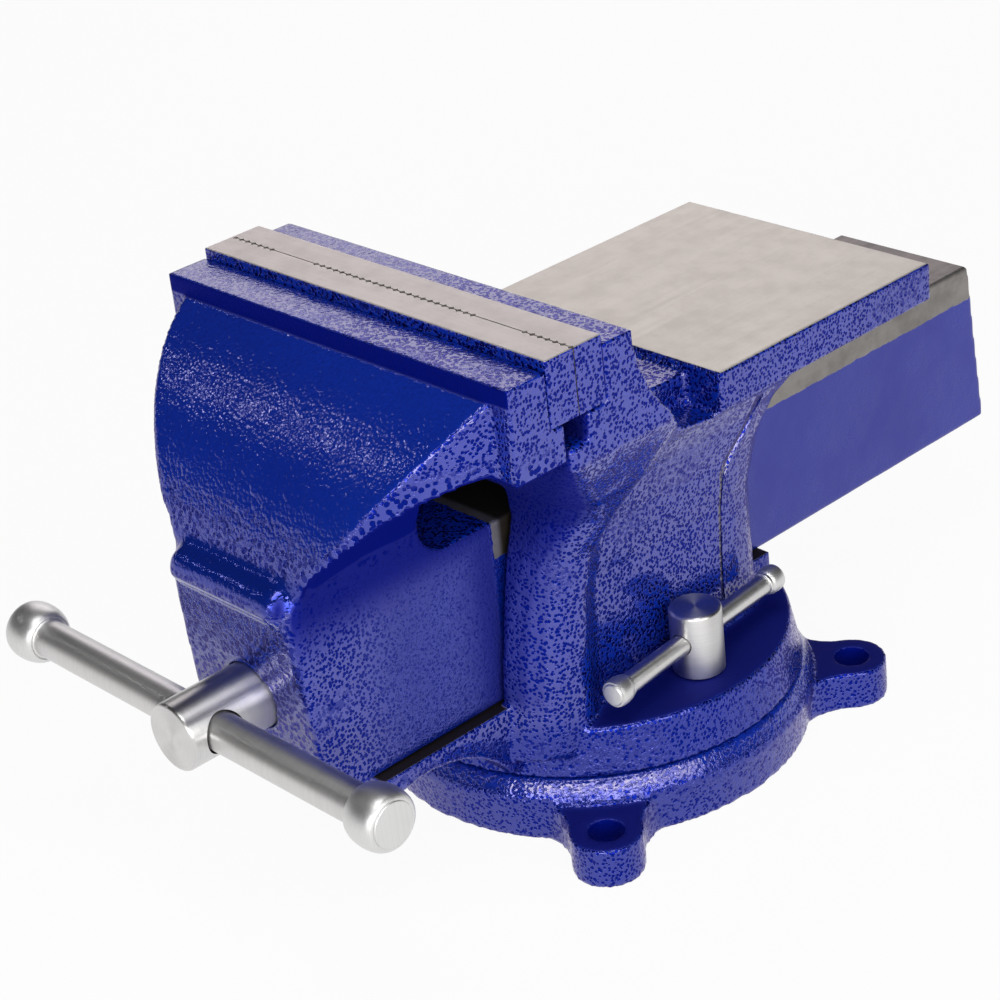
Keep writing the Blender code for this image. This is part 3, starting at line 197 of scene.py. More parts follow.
def hypotenuse(tree, first, second):
    squares = plus(tree, math_node(tree, 'POWER', first, 2.0),
                   math_node(tree, 'POWER', second, 2.0))
    return math_node(tree, 'SQRT', squares)


def largest(tree, *shares):
    result = shares[0]
    for share in shares[1:]:
        result = math_node(tree, 'MAXIMUM', result, share)
    return result


def coordinates(tree):
    node = tree.nodes.new("ShaderNodeTexCoord")
    return node.outputs["Object"]


def split(tree, vector):
    node = tree.nodes.new("ShaderNodeSeparateXYZ")
    put(node.inputs[0], vector)
    return node.outputs


def both(tree, *shares):
    """Product of shares."""
    result = shares[0]
    for share in shares[1:]:
        result = math_node(tree, 'MULTIPLY', result, share)
    return result


def warp(tree, place, scale, reach):
    """Coordinates moved by noise, so that a cell pattern on them has uneven outlines."""
    shift = tree.nodes.new("ShaderNodeTexNoise")
    shift.inputs["Scale"].default_value = scale
    put(shift.inputs["Vector"], place)
    moved = tree.nodes.new("ShaderNodeVectorMath")
    moved.operation = 'MULTIPLY_ADD'
    put(moved.inputs[0], shift.outputs["Color"])
    moved.inputs[1].default_value = (reach, reach, reach)
    put(moved.inputs[2], place)
    return moved.outputs[0]


def frayed(tree, place, scale, reach):
    """Small uneven offset that frays the edge of a ground face."""
    return both(tree, minus(tree, noise_node(tree, place, scale, 3.0), 0.5), reach)


def hammered_paint(name, bare=None, calm=None, net=None, deep=None, crease=None,
                   grain=None, dim=None):
    """Glossy hammered blue paint: a skin of small domes with round pits, which are painted a
    darker blue as painted shade. These give shares: bare(tree, place, xyz, facing) of ground
    metal, calm(tree, xyz, facing) of skin without pits, net(tree, xyz, facing) of large pits,
    deep(tree, xyz, facing) of skin painted a darker blue as painted shade, which mirrors only
    blue, crease(tree, xyz) of a sunken line whose lower part gets painted shade, grain(tree,
    xyz, facing) of skin with the finest pits and dim(tree, xyz, facing) of weaker gloss.
    The Metallic input carries the pits, the painted shade and dim skin, so these mirror blue."""
    mat, tree, shader = new_material(name)
    place = coordinates(tree)
    xyz = split(tree, place)
    facing = split(tree, tree.nodes.new("ShaderNodeTexCoord").outputs["Normal"])
    warped = warp(tree, place, 420, 0.9 * MM)
    patch = noise_node(tree, place, 24, 2.0)
    wide = ramp(tree, patch, 0.55, 0.66, 0.0, 0.6)
    if net:
        wide = largest(tree, wide, net(tree, xyz, facing))
    coarse = ramp(tree, cells(tree, warped, 520, 0.05), 0.44, 0.52)
    fine = ramp(tree, cells(tree, warped, 850, 0.05), 0.39, 0.54)
    skin = mix_value(tree, wide, fine, coarse)
    if grain:
        finest = ramp(tree, cells(tree, warped, 1250, 0.05), 0.36, 0.60, 0.25, 1.0)
        skin = mix_value(tree, grain(tree, xyz, facing), skin, finest)
    pit = minus(tree, 1.0, skin)
    if calm:
        pit = both(tree, pit, minus(tree, 1.0, calm(tree, xyz, facing)))
    pit_depth = both(tree, mix_value(tree, wide, 0.6, 1.0), PIT_DEPTH)
    swell = ramp(tree, noise_node(tree, place, 150, 1.0), 0.3, 0.7, 0.55, 1.0)
    dome = both(tree, math_node(tree, 'POWER', cells(tree, warped, 820, 0.35), 2.0),
                ramp(tree, facing[2], 0.04, 0.25, 0.25, 1.0), swell)
    if deep:
        painted_shade = deep(tree, xyz, facing)
        dome = both(tree, dome, minus(tree, 1.0, both(tree, painted_shade, 0.85)))
    normal = bump(tree, noise_node(tree, place, 60, 2.0, 0.5), 0.35 * MM)
    normal = bump(tree, minus(tree, 1.0, dome), DOME_DEPTH, normal)
    normal = bump(tree, noise_node(tree, place, 900, 1.0), 0.02 * MM, normal)
    normal = bump(tree, minus(tree, 1.0, pit), pit_depth, normal)
    # Painted shade: the pits are painted a darker blue
    paint = mix_colour(tree, pit, SKIN_BLUE, PIT_SHADE_BLUE)
    tone = ramp(tree, noise_node(tree, place, 11, 3.0), 0.35, 0.7, 0.0, 0.30)
    paint = mix_colour(tree, tone, paint, CLOUD_BLUE)
    dull = pit
    if dim:
        dull = largest(tree, dull, dim(tree, xyz, facing))
    if crease:
        sunk = crease(tree, xyz)
        normal = bump(tree, minus(tree, 1.0, sunk), CREASE_DEPTH, normal)
        # Painted shade: the crease's lower part is painted a near-black blue
        shade = both(tree, ramp(tree, sunk, 0.35, 0.8), ramp(tree, xyz[2], 0.094, 0.090))
        paint = mix_colour(tree, shade, paint, CREASE_SHADE_BLUE)
    roughness = mix_value(tree, pit, 0.11, 0.34)
    # Painted shade: the deep share is painted a darker blue, mirrors only blue and is rougher
    if deep:
        paint = mix_colour(tree, painted_shade, paint, SHADE_BLUE)
        dull = largest(tree, dull, painted_shade)
        roughness = mix_value(tree, painted_shade, roughness, 0.80)
    shader.inputs["IOR"].default_value = 1.68
    shader.inputs["Specular Tint"].default_value = (1.0, 0.89, 0.95, 1)
    shader.inputs["Specular IOR Level"].default_value = 0.75
    if bare is None:
        put(shader.inputs["Base Color"], paint)
        put(shader.inputs["Roughness"], roughness)
        put(shader.inputs["Metallic"], dull)
        put(shader.inputs["Normal"], normal)
        return mat
    share, metal, grind, metal_roughness = bare(tree, place, xyz, facing)
    metal_normal = bump(tree, grind, 0.03 * MM)
    put(shader.inputs["Base Color"], mix_colour(tree, share, paint, metal))
    put(shader.inputs["Metallic"], largest(tree, share, dull))
    put(shader.inputs["Roughness"], mix_value(tree, share, roughness, metal_roughness))
    blend = tree.nodes.new("ShaderNodeMix")
    blend.data_type = 'VECTOR'
    put(blend.inputs[0], share)
    put(blend.inputs[4], normal)
    put(blend.inputs[5], metal_normal)
    put(shader.inputs["Normal"], blend.outputs[1])
    return mat


def ground_metal(tree, place, along, tint=(0.68, 0.66, 0.60), dull=(0.56, 0.54, 0.485)):
    """Colour, grinding lines and roughness of a ground face, streaked along an axis."""
    stretch = {'X': (14, 2000, 300), 'Y': (2000, 14, 300)}[along]
    streak = noise_node(tree, scaled(tree, place, stretch), 1.0, 3.0, 0.6)
    mottle = noise_node(tree, place, 90, 4.0, 0.6)
    stain = noise_node(tree, place, 320, 3.0, 0.65)
    colour = mix_colour(tree, ramp(tree, mottle, 0.35, 0.72, 0.0, 0.55), tint, dull)
    colour = mix_colour(tree, ramp(tree, stain, 0.55, 0.75, 0.0, 0.35), colour, dull)
    colour = mix_colour(tree, ramp(tree, streak, 0.45, 0.8, 0.0, 0.14), colour, dull)
    rough = mix_value(tree, ramp(tree, streak, 0.3, 0.7), 0.54, 0.60)
    return colour, streak, rough


def jaw_top(tree, xyz, facing):
    """A jaw's top, more so towards its left end."""
    return both(tree, ramp(tree, xyz[2], 0.1700, 0.1712), ramp(tree, facing[2], 0.7, 0.9),
                ramp(tree, xyz[0], 0.030, -0.030, 0.15, 0.65))


def body_bare(tree, place, xyz, facing):
    """The anvil's face and the ways are ground, the rest of the fixed casting is painted."""
    level_face = ramp(tree, facing[2], 0.80, 0.95)
    level = plus(tree, xyz[2], frayed(tree, place, 500, 0.6 * MM))
    anvil = both(tree, ramp(tree, level, 0.13400, 0.13425), ramp(tree, level, 0.1375, 0.1370),
                 ramp(tree, xyz[1], 0.0155, 0.0162), level_face)
    ways = both(tree, ramp(tree, level, 0.0470, 0.0474), ramp(tree, level, 0.0492, 0.0488),
                ramp(tree, size_of(tree, xyz[0]), 0.0330, 0.0322), level_face)
    colour, streak, rough = ground_metal(tree, place, 'Y')
    colour = mix_colour(tree, ways, colour, (0.075, 0.062, 0.052))
    return largest(tree, anvil, ways), colour, streak, rough


def body_calm(tree, xyz, facing):
    """The lock screws' pockets on the disc and the fixed jaw's top have smoother paint."""
    pocket = both(tree, ramp(tree, xyz[2], 0.0385, 0.0378), ramp(tree, facing[2], 0.85, 0.95),
                  ramp(tree, size_of(tree, xyz[0]), 0.038, 0.041))
    return largest(tree, jaw_top(tree, xyz, facing), pocket)


def body_shade(tree, xyz, facing):
    """Painted shade: the column's front, up to its rounded corner, and the disc's top are painted
    a darker blue.
    """
    front = both(tree, ramp(tree, facing[0], 0.80, 0.50), ramp(tree, facing[1], -0.20, -0.45),
                 ramp(tree, xyz[2], 0.0440, 0.0520), ramp(tree, xyz[1], -0.030, -0.038),
                 ramp(tree, xyz[2], 0.0850, 0.1150, 0.55, 0.85))
    disc = both(tree, ramp(tree, xyz[2], 0.0400, 0.0385), ramp(tree, facing[2], 0.80, 0.92), 0.85)
    return largest(tree, front, disc)


def body_crease(tree, xyz):
    """The sunken line down the side, between the column and the anvil's foot; its lower part gets
    painted shade.
    """
    line = plus(tree, ramp(tree, xyz[2], 0.050, 0.094, 0.0243, 0.0262),
                ramp(tree, xyz[2], 0.090, 0.114, 0.0, 0.0115))
    away = size_of(tree, minus(tree, xyz[1], line))
    side = ramp(tree, size_of(tree, xyz[0]), 0.034, 0.036)
    width = ramp(tree, xyz[2], 0.089, 0.094, 0.8 * MM, 2.1 * MM)
    across = math_node(tree, 'DIVIDE', away, width)
    sunk = math_node(tree, 'SUBTRACT', 1.0, across, clamp=True)
    return both(tree, sunk, side, ramp(tree, xyz[2], 0.118, 0.115),
                ramp(tree, xyz[2], 0.045, 0.052))


def body_dim(tree, xyz, facing):
    """The disc's wall and the box under the anvil have a weaker gloss."""
    disc = ramp(tree, xyz[2], 0.046, 0.036, 0.0, 0.48)
    box = both(tree, ramp(tree, xyz[1], 0.026, 0.036), ramp(tree, xyz[2], 0.122, 0.112), 0.24)
    return largest(tree, disc, box)


def base_dim(tree, xyz, facing):
    """The base has a weaker gloss, except on its shoulder."""
    return ramp(tree, xyz[2], 0.0185, 0.0165, 0.0, 0.38)


def lug_hole_distance(tree, xyz):
    """Distance from the axis of the nearest bolt hole."""
    cosine = math.cos(LUG_TURN)
    sine = math.sin(LUG_TURN)
    along = size_of(tree, plus(tree, both(tree, xyz[0], cosine), both(tree, xyz[1], sine)))
    across = size_of(tree, minus(tree, both(tree, xyz[1], cosine), both(tree, xyz[0], sine)))
    out = minus(tree, largest(tree, along, across), LUG_REACH)
    aside = math_node(tree, 'MINIMUM', along, across)
    return hypotenuse(tree, out, aside)


def base_calm(tree, xyz, facing):
    """The lugs' tops and the ring's shoulder are smoother."""
    lug = both(tree, ramp(tree, xyz[2], 0.0150, 0.0142), ramp(tree, facing[2], 0.85, 0.95), 0.9)
    shoulder = both(tree, ramp(tree, xyz[2], 0.0165, 0.0180),
                    ramp(tree, facing[2], 0.15, 0.35), 0.5)
    return math_node(tree, 'MAXIMUM', lug, shoulder)


def base_shade(tree, xyz, facing):
    """Painted shade: the lugs' tops are painted dark and their holes darker."""
    hole = ramp(tree, lug_hole_distance(tree, xyz), 0.0064, 0.0056)
    top = both(tree, ramp(tree, xyz[2], 0.0150, 0.0142), ramp(tree, facing[2], 0.80, 0.92), 0.8)
    return math_node(tree, 'MAXIMUM', hole, top)


def jaw_bare(tree, place, xyz, facing):
    """The slide's top and a band along its sides are machined, and painted darker brown as
    painted shade where they run within the body.
    """
    edge = frayed(tree, place, 380, 1.6 * MM)
    level = plus(tree, xyz[2], edge)
    reach = plus(tree, xyz[1], edge)
    side = both(tree, ramp(tree, level, 0.0966, 0.0970),
                ramp(tree, size_of(tree, xyz[0]), 0.0274, 0.0278))
    top = both(tree, ramp(tree, xyz[2], 0.1080, 0.1084), ramp(tree, facing[2], 0.7, 0.85))
    behind_block = ramp(tree, reach, -0.0606, -0.0602)
    not_end = ramp(tree, reach, 0.1722, 0.1716)
    below_neck = ramp(tree, xyz[2], 0.1100, 0.1096)
    share = both(tree, largest(tree, side, top), behind_block, not_end, below_neck)
    colour, streak, rough = ground_metal(tree, place, 'Y', (0.31, 0.295, 0.28),
                                         (0.155, 0.148, 0.14))
    # Painted shade: the machined band is painted darker brown where it runs within the body
    inside_shade = both(tree, ramp(tree, xyz[1], -0.0585, -0.0560), ramp(tree, xyz[1], 0.060, 0.045))
    colour = mix_colour(tree, inside_shade, colour, (0.060, 0.050, 0.036))
    return share, colour, streak, rough


def jaw_calm(tree, xyz, facing):
    """The slide's rear, the apron's front and underside, its roll and the jaw's top are
    smoother."""
    rear = both(tree, ramp(tree, xyz[1], 0.02, 0.06), ramp(tree, xyz[2], 0.125, 0.120), 0.8)
    front = both(tree, ramp(tree, xyz[1], -0.088, -0.090),
                 ramp(tree, size_of(tree, facing[0]), 0.5, 0.3),
                 ramp(tree, facing[2], 0.36, 0.52), ramp(tree, xyz[2], 0.174, 0.171), 0.85)
    under = both(tree, ramp(tree, xyz[1], -0.080, -0.084), ramp(tree, facing[2], -0.12, -0.28))
    roll = both(tree, ramp(tree, xyz[1], -0.1322, -0.1345), ramp(tree, facing[2], 0.18, 0.38),
                ramp(tree, xyz[2], 0.1225, 0.1205), 0.8)
    return largest(tree, rear, front, under, jaw_top(tree, xyz, facing), roll)


def jaw_net(tree, xyz, facing):
    """The apron's sides and its lower front have the largest pits."""
    sides = both(tree, ramp(tree, xyz[1], -0.0735, -0.0750),
                 ramp(tree, size_of(tree, facing[0]), 0.45, 0.65),
                 ramp(tree, xyz[2], 0.1560, 0.1500), ramp(tree, xyz[2], 0.1130, 0.1180))
    front = both(tree, ramp(tree, xyz[1], -0.088, -0.092), ramp(tree, xyz[2], 0.1500, 0.1440),
                 ramp(tree, facing[1], -0.45, -0.70), 0.75)
    return largest(tree, sides, front)


def jaw_grain(tree, xyz, facing):
    """The slide's sides in front of the body have the finest skin."""
    return both(tree, ramp(tree, xyz[2], 0.1160, 0.1080), ramp(tree, xyz[1], -0.124, -0.096),
                ramp(tree, size_of(tree, facing[0]), 0.5, 0.8), 0.6)


def jaw_dim(tree, xyz, facing):
    """The slide's sides, the roll with its ends and the apron's front have a weaker gloss."""
    side = both(tree, jaw_grain(tree, xyz, facing), 0.8)
    roll = both(tree, ramp(tree, xyz[1], -0.1300, -0.1330), ramp(tree, xyz[2], 0.1235, 0.1215),
                ramp(tree, xyz[2], 0.1125, 0.1140))
    end = both(tree, roll, ramp(tree, size_of(tree, facing[0]), 0.3, 0.6), 0.75)
    front = both(tree, ramp(tree, xyz[1], -0.088, -0.092), ramp(tree, facing[1], -0.40, -0.65),
                 ramp(tree, xyz[2], 0.1210, 0.1235), 0.18)
    return largest(tree, side, both(tree, roll, 0.45), end, front)


def jaw_shade_and_clouds(tree, xyz, facing):
    """Painted shade on the flare under the apron, the slide's side beside and below it and the
    block's front strip, and darker clouds on the slide's rear."""
    flare = both(tree, ramp(tree, xyz[2], 0.1120, 0.1180), ramp(tree, facing[2], -0.08, -0.26),
                 ramp(tree, xyz[1], -0.060, -0.066))
    below = both(tree, ramp(tree, xyz[2], 0.0900, 0.1120), 0.9)
    beside = both(tree, ramp(tree, xyz[1], -0.0840, -0.0640), 0.7)
    side = both(tree, ramp(tree, size_of(tree, xyz[0]), 0.036, 0.033),
                ramp(tree, size_of(tree, facing[0]), 0.6, 0.85),
                ramp(tree, xyz[1], -0.0600, -0.0620), largest(tree, below, beside))
    strip = both(tree, ramp(tree, xyz[2], 0.1700, 0.1712), ramp(tree, facing[1], -0.55, -0.80),
                 ramp(tree, xyz[1], -0.070, -0.080))
    cloud = ramp(tree, noise_node(tree, coordinates(tree), 34, 2.0), 0.38, 0.62, 0.15, 0.40)
    rear = both(tree, ramp(tree, xyz[1], 0.02, 0.05), ramp(tree, facing[2], 0.5, 0.3), cloud)
    return largest(tree, flare, side, strip, rear)


def plate_bare(tree, place, xyz, facing):
    """A jaw plate is ground on top and on the face that grips, and painted everywhere else."""
    from_line = size_of(tree, plus(tree, xyz[1], 0.0636))
    grip = both(tree, ramp(tree, from_line, 0.0016, 0.0014),
                ramp(tree, size_of(tree, facing[1]), 0.3, 0.5))
    share = largest(tree, ramp(tree, facing[2], 0.55, 0.68), grip)
    colour, streak, rough = ground_metal(tree, place, 'X', (0.66, 0.635, 0.605),
                                         (0.52, 0.50, 0.475))
    return share, colour, streak, rough


def turned_steel(name, tone, rough, brushed=0.0, face_lines='RINGS'):
    """Bright turned steel, its turning lines round the local Z axis."""
    mat, tree, shader = new_material(name)
    place = coordinates(tree)
    xyz = split(tree, place)
    pair = tree.nodes.new("ShaderNodeCombineXYZ")
    if face_lines == 'RINGS':
        put(pair.inputs[0], hypotenuse(tree, xyz[0], xyz[1]))
    else:
        put(pair.inputs[0], xyz[0])
    put(pair.inputs[1], xyz[2])
    lines = noise_node(tree, pair.outputs[0], 3200, 3.0, 0.65)
    broad = noise_node(tree, pair.outputs[0], 1300, 2.0, 0.5)
    blotch = noise_node(tree, place, 160, 3.0)
    dark = tuple(channel * 0.80 for channel in tone)
    colour = mix_colour(tree, ramp(tree, lines, 0.35, 0.7, 0.0, 0.45), tone, dark)
    colour = mix_colour(tree, ramp(tree, blotch, 0.45, 0.75, 0.0, 0.20), colour, dark)
    if brushed:
        tangent = tree.nodes.new("ShaderNodeTangent")
        tangent.direction_type = 'RADIAL'
        tangent.axis = 'Z'
        put(shader.inputs["Tangent"], tangent.outputs[0])
        shader.inputs["Anisotropic"].default_value = brushed
        shader.inputs["Anisotropic Rotation"].default_value = 0.25
    put(shader.inputs["Base Color"], colour)
    shader.inputs["Metallic"].default_value = 1.0
    uneven = mix_value(tree, ramp(tree, broad, 0.3, 0.7), rough, rough + 0.04)
    put(shader.inputs["Roughness"], uneven)
    normal = bump(tree, lines, 0.012 * MM)
    normal = bump(tree, broad, 0.003 * MM, normal)
    put(shader.inputs["Normal"], normal)
    return mat


def dark_metal(name, light, dark, rough):
    """Blackened or oiled metal with a mottled skin."""
    mat, tree, shader = new_material(name)
    place = coordinates(tree)
    mottle = noise_node(tree, place, 260, 4.0, 0.6)
    grain = noise_node(tree, place, 1500, 2.0)
    put(shader.inputs["Base Color"], mix_colour(tree, ramp(tree, mottle, 0.35, 0.7), dark, light))
    shader.inputs["Metallic"].default_value = 0.9
    put(shader.inputs["Roughness"], mix_value(tree, mottle, rough, rough + 0.15))
    put(shader.inputs["Normal"], bump(tree, grain, 0.04 * MM))
    return mat


# Mesh helpers

def link(obj):
    SCENE.collection.objects.link(obj)
    return obj


def baked(obj):
    """Apply an object's modifiers to its mesh."""
    bpy.context.view_layer.update()
    graph = bpy.context.evaluated_depsgraph_get()
    mesh = bpy.data.meshes.new_from_object(obj.evaluated_get(graph))
    old = obj.data
    obj.modifiers.clear()
    obj.data = mesh
    bpy.data.meshes.remove(old)
    return obj


def finish_piece(obj, body, slot, mats, *nodes):
    obj.data.materials.clear()
    for mat in mats:
        obj.data.materials.append(mat)
    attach(obj, body)
    if nodes:
        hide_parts(*nodes)
    return obj


def melted(mesh, points, where, passes):
    """Points of a mesh, those in a share more rounded by averaging with their neighbours."""
    pairs = np.empty(len(mesh.edges) * 2, dtype=np.int32)
    mesh.edges.foreach_get("vertices", pairs)
    pairs = pairs.reshape(-1, 2)
    ends = np.concatenate((pairs[:, 0], pairs[:, 1]))
    others = np.concatenate((pairs[:, 1], pairs[:, 0]))
    number = np.maximum(np.bincount(ends, minlength=len(points)), 1)
    for _ in range(passes):
        mean = np.stack([np.bincount(ends, points[others, axis], len(points)) / number
                         for axis in range(3)], axis=1)
        points = points + (mean - points) * (0.5 * where)[:, None]
    return points


def casting(name, node, body, mat, flats, melt=None):
    """A cast piece with soft edges and a slightly uneven skin, grown from the frame's solid.
    Each of flats is (axis, level, reach, test) of a face that stays flat, and melt(points)
    gives the share that is softer than the rest."""
    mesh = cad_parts[node].data.copy()
    obj = link(bpy.data.objects.new(name, mesh))
    grow = obj.modifiers.new("grow", 'REMESH')
    grow.mode = 'VOXEL'
    grow.voxel_size = VOXEL
    soft = obj.modifiers.new("soften", 'SMOOTH')
    soft.factor = 0.5
    soft.iterations = SOFT_PASSES
    baked(obj)
    mesh = obj.data
    count = len(mesh.vertices)
    points = np.empty(count * 3, dtype=np.float64)
    mesh.vertices.foreach_get("co", points)
    points = points.reshape(-1, 3)
    if melt is not None:
        points = melted(mesh, points, melt(points), MELT_PASSES)
    normals = np.empty(count * 3, dtype=np.float32)
    mesh.vertex_normals.foreach_get("vector", normals)
    normals = normals.reshape(-1, 3)
    held = np.zeros(count, dtype=bool)
    for axis, value, reach, test in flats:
        near = (np.abs(points[:, axis] - value) < reach) & (np.abs(normals[:, axis]) > 0.80)
        if test is not None:
            near &= test(points)
        points[near, axis] = value
        held |= near
    rise = np.array([noise.noise(Vector(point) * 95) + 0.6 * noise.noise(Vector(point) * 210)
                     for point in points])
    rise = np.minimum(rise, 0.25) - 0.25
    rise[held] = 0
    points += normals * (rise * WAVE_DEPTH)[:, None]
    mesh.vertices.foreach_set("co", points.ravel())
    mesh.update()
    mesh.shade_smooth()
    return finish_piece(obj, body, "blue_paint", [mat], node)


def lathe(name, profile, place, direction, steps=96, cuts=()):
    """Turned piece about local Z, from (radius, height) points, with holes cut by rods."""
    bm = bmesh.new()
    rings = []
    for radius, height in profile:
        if radius < 1e-7:
            rings.append([bm.verts.new((0, 0, height))])
            continue
        rings.append([bm.verts.new((radius * math.cos(math.tau * k / steps),
                                    radius * math.sin(math.tau * k / steps), height))
                      for k in range(steps)])
    for upper, lower in zip(rings, rings[1:]):
        for k in range(steps):
            after = (k + 1) % steps
            if len(upper) == 1:
                bm.faces.new((upper[0], lower[k], lower[after]))
            elif len(lower) == 1:
                bm.faces.new((upper[k], lower[0], upper[after]))
            else:
                bm.faces.new((upper[k], lower[k], lower[after], upper[after]))
    bmesh.ops.recalc_face_normals(bm, faces=bm.faces)
    mesh = bpy.data.meshes.new(name)
    bm.to_mesh(mesh)
    bm.free()
    obj = link(bpy.data.objects.new(name, mesh))
    aim = Vector(direction).to_track_quat('Z', 'Y')
    obj.matrix_world = Matrix.Translation(place) @ aim.to_matrix().to_4x4()
    tools = []
    for start, end, radius in cuts:
        tool = rod_tool(start, end, radius)
        cut = obj.modifiers.new("hole", 'BOOLEAN')
        cut.operation = 'DIFFERENCE'
        cut.solver = 'EXACT'
        cut.object = tool
        tools.append(tool)
    if tools:
        baked(obj)
        for tool in tools:
            bpy.data.objects.remove(tool, do_unlink=True)
    obj.data.shade_smooth()
    obj.data.set_sharp_from_angle(angle=math.radians(32))
    return obj


def rod_tool(start, end, radius):
    start = Vector(start)
    end = Vector(end)
    bm = bmesh.new()
    bmesh.ops.create_cone(bm, cap_ends=True, segments=64, radius1=radius, radius2=radius,
                          depth=(end - start).length)
    mesh = bpy.data.meshes.new("hole_tool")
    bm.to_mesh(mesh)
    bm.free()
    tool = link(bpy.data.objects.new("hole_tool", mesh))
    aim = (end - start).to_track_quat('Z', 'Y')
    tool.matrix_world = Matrix.Translation((start + end) / 2) @ aim.to_matrix().to_4x4()
    return tool


def round_edge(radius, height, size, steps=5, top=True):
    """Profile points of a rounded edge at (radius, height), outwards and then down, or back."""
    points = []
    for step in range(steps + 1):
        turn = math.pi / 2 * step / steps
        if top:
            inset, drop = 1 - math.sin(turn), 1 - math.cos(turn)
            points.append((radius - size * inset, height - size * drop))
        else:
            inset, rise = 1 - math.cos(turn), 1 - math.sin(turn)
            points.append((radius - size * inset, height + size * rise))
    return points


# Materials

paint_base = hammered_paint("base_paint", calm=base_calm, deep=base_shade, dim=base_dim)
paint_body = hammered_paint("body_paint", body_bare, body_calm, deep=body_shade,
                            crease=body_crease, dim=body_dim)
paint_jaw = hammered_paint("jaw_paint", jaw_bare, jaw_calm, jaw_net, jaw_shade_and_clouds, grain=jaw_grain,
                           dim=jaw_dim)
plate_metal = hammered_paint("plate_metal", plate_bare)
steel = turned_steel("turned_steel", (0.67, 0.66, 0.655), 0.34, brushed=0.75)
rod_steel = turned_steel("rod_steel", (0.665, 0.655, 0.65), 0.42, brushed=0.4)
knob_steel = turned_steel("knob_steel", (0.725, 0.72, 0.715), 0.42, face_lines='STRAIGHT')
thread_steel = turned_steel("thread_steel", (0.46, 0.45, 0.44), 0.28)
black = dark_metal("black_oxide", (0.055, 0.055, 0.06), (0.025, 0.025, 0.028), 0.38)
oiled = dark_metal("oiled_iron", (0.20, 0.19, 0.175), (0.10, 0.095, 0.085), 0.36)
spring = dark_metal("spring_wire", (0.40, 0.39, 0.38), (0.24, 0.23, 0.225), 0.26)


# Castings

def anvil_face(points):
    return (points[:, 1] > 0.0155) & (points[:, 2] > 0.13)


def around_roll(points):
    """Share of the apron's roll, which has the softest edges."""
    front = np.clip((-0.126 - points[:, 1]) / 0.004, 0, 1)
    low = np.clip((0.127 - points[:, 2]) / 0.002, 0, 1)
    high = np.clip((points[:, 2] - 0.112) / 0.003, 0, 1)
    return front * low * high


casting("base_casting", "base_ring", "base", paint_base, flats=[(2, 0.0, 0.9 * MM, None)])
casting("body_casting", "swivel_body", "swivel_body", paint_body,
        flats=[(2, ANVIL_TOP, 0.7 * MM, anvil_face), (2, WAYS_TOP, 0.5 * MM, None)])
casting("jaw_casting", "moving_jaw", "moving_jaw", paint_jaw,
        flats=[(2, SLIDE_TOP, 0.5 * MM, None)], melt=around_roll)


# Jaw plates

def jaw_plate(name, node, body, inward):
    """Plate as the frame has it, its back drawn in and its outer edges chamfered."""
    low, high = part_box(node)
    near = 0.05 * MM
    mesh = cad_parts[node].data.copy()
    bm = bmesh.new()
    bm.from_mesh(mesh)
    bmesh.ops.remove_doubles(bm, verts=bm.verts, dist=0.01 * MM)
    bmesh.ops.dissolve_limit(bm, angle_limit=math.radians(1), verts=bm.verts, edges=bm.edges)
    back = high.y if inward > 0 else low.y
    for vert in bm.verts:
        if abs(vert.co.y - back) < near:
            vert.co.y += inward * PLATE_INSET
    back += inward * PLATE_INSET
    rim = []
    for edge in bm.edges:
        ends = [vert.co for vert in edge.verts]
        on_back = all(abs(end.y - back) < near for end in ends)
        on_top = all(abs(end.z - high.z) < near for end in ends)
        on_side = all(abs(abs(end.x) - high.x) < near for end in ends)
        if on_back + on_top + on_side >= 2:
            rim.append(edge)
    bmesh.ops.bevel(bm, geom=rim, offset=0.55 * MM, segments=2, profile=0.5, affect='EDGES')
    bm.to_mesh(mesh)
    bm.free()
    obj = link(bpy.data.objects.new(name, mesh))
    mesh.shade_smooth()
    mesh.set_sharp_from_angle(angle=math.radians(22))
    return finish_piece(obj, body, "ground_steel", [plate_metal], node)


jaw_plate("fixed_plate", "fixed_jaw_plate", "swivel_body", 1)
jaw_plate("moving_plate", "moving_jaw_plate", "moving_jaw", -1)


# Main screw and handle

BAR_LOW, BAR_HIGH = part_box("handle_bar")
HANDLE_Y = (BAR_LOW.y + BAR_HIGH.y) / 2
AXIS_Z = (BAR_LOW.z + BAR_HIGH.z) / 2
CENTRE = Vector((0, HANDLE_Y, AXIS_Z))
BAR_RADIUS = (BAR_HIGH.z - BAR_LOW.z) / 2
SCREW_LOW, SCREW_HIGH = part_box("main_screw")
HEAD_RADIUS = (SCREW_HIGH.z - SCREW_LOW.z) / 2
HOLE_RADIUS = 6.7 * MM
SHANK_RADIUS = 9 * MM
THREAD_ROOT = 7.1 * MM
SHOULDER_Y = -130.5 * MM
THREAD_Y = -112 * MM
THREAD_LEAD = 5 * MM

# Heights along the screw's own axis, which points out of the vise, from the handle's hole
face = HANDLE_Y - SCREW_LOW.y
shoulder = HANDLE_Y - SHOULDER_Y
thread_start = HANDLE_Y - THREAD_Y

head_profile = [(0, face)] + round_edge(HEAD_RADIUS, face, 1.1 * MM)
head_profile += [(HEAD_RADIUS, shoulder), (SHANK_RADIUS, shoulder), (SHANK_RADIUS, thread_start),
                 (0, thread_start)]
hole_reach = Vector((HEAD_RADIUS * 1.5, 0, 0))
head = lathe("screw_head", head_profile, CENTRE, (0, -1, 0),
             cuts=[(CENTRE - hole_reach, CENTRE + hole_reach, HOLE_RADIUS)])
finish_piece(head, "screw", "turned_steel", [steel], "main_screw")


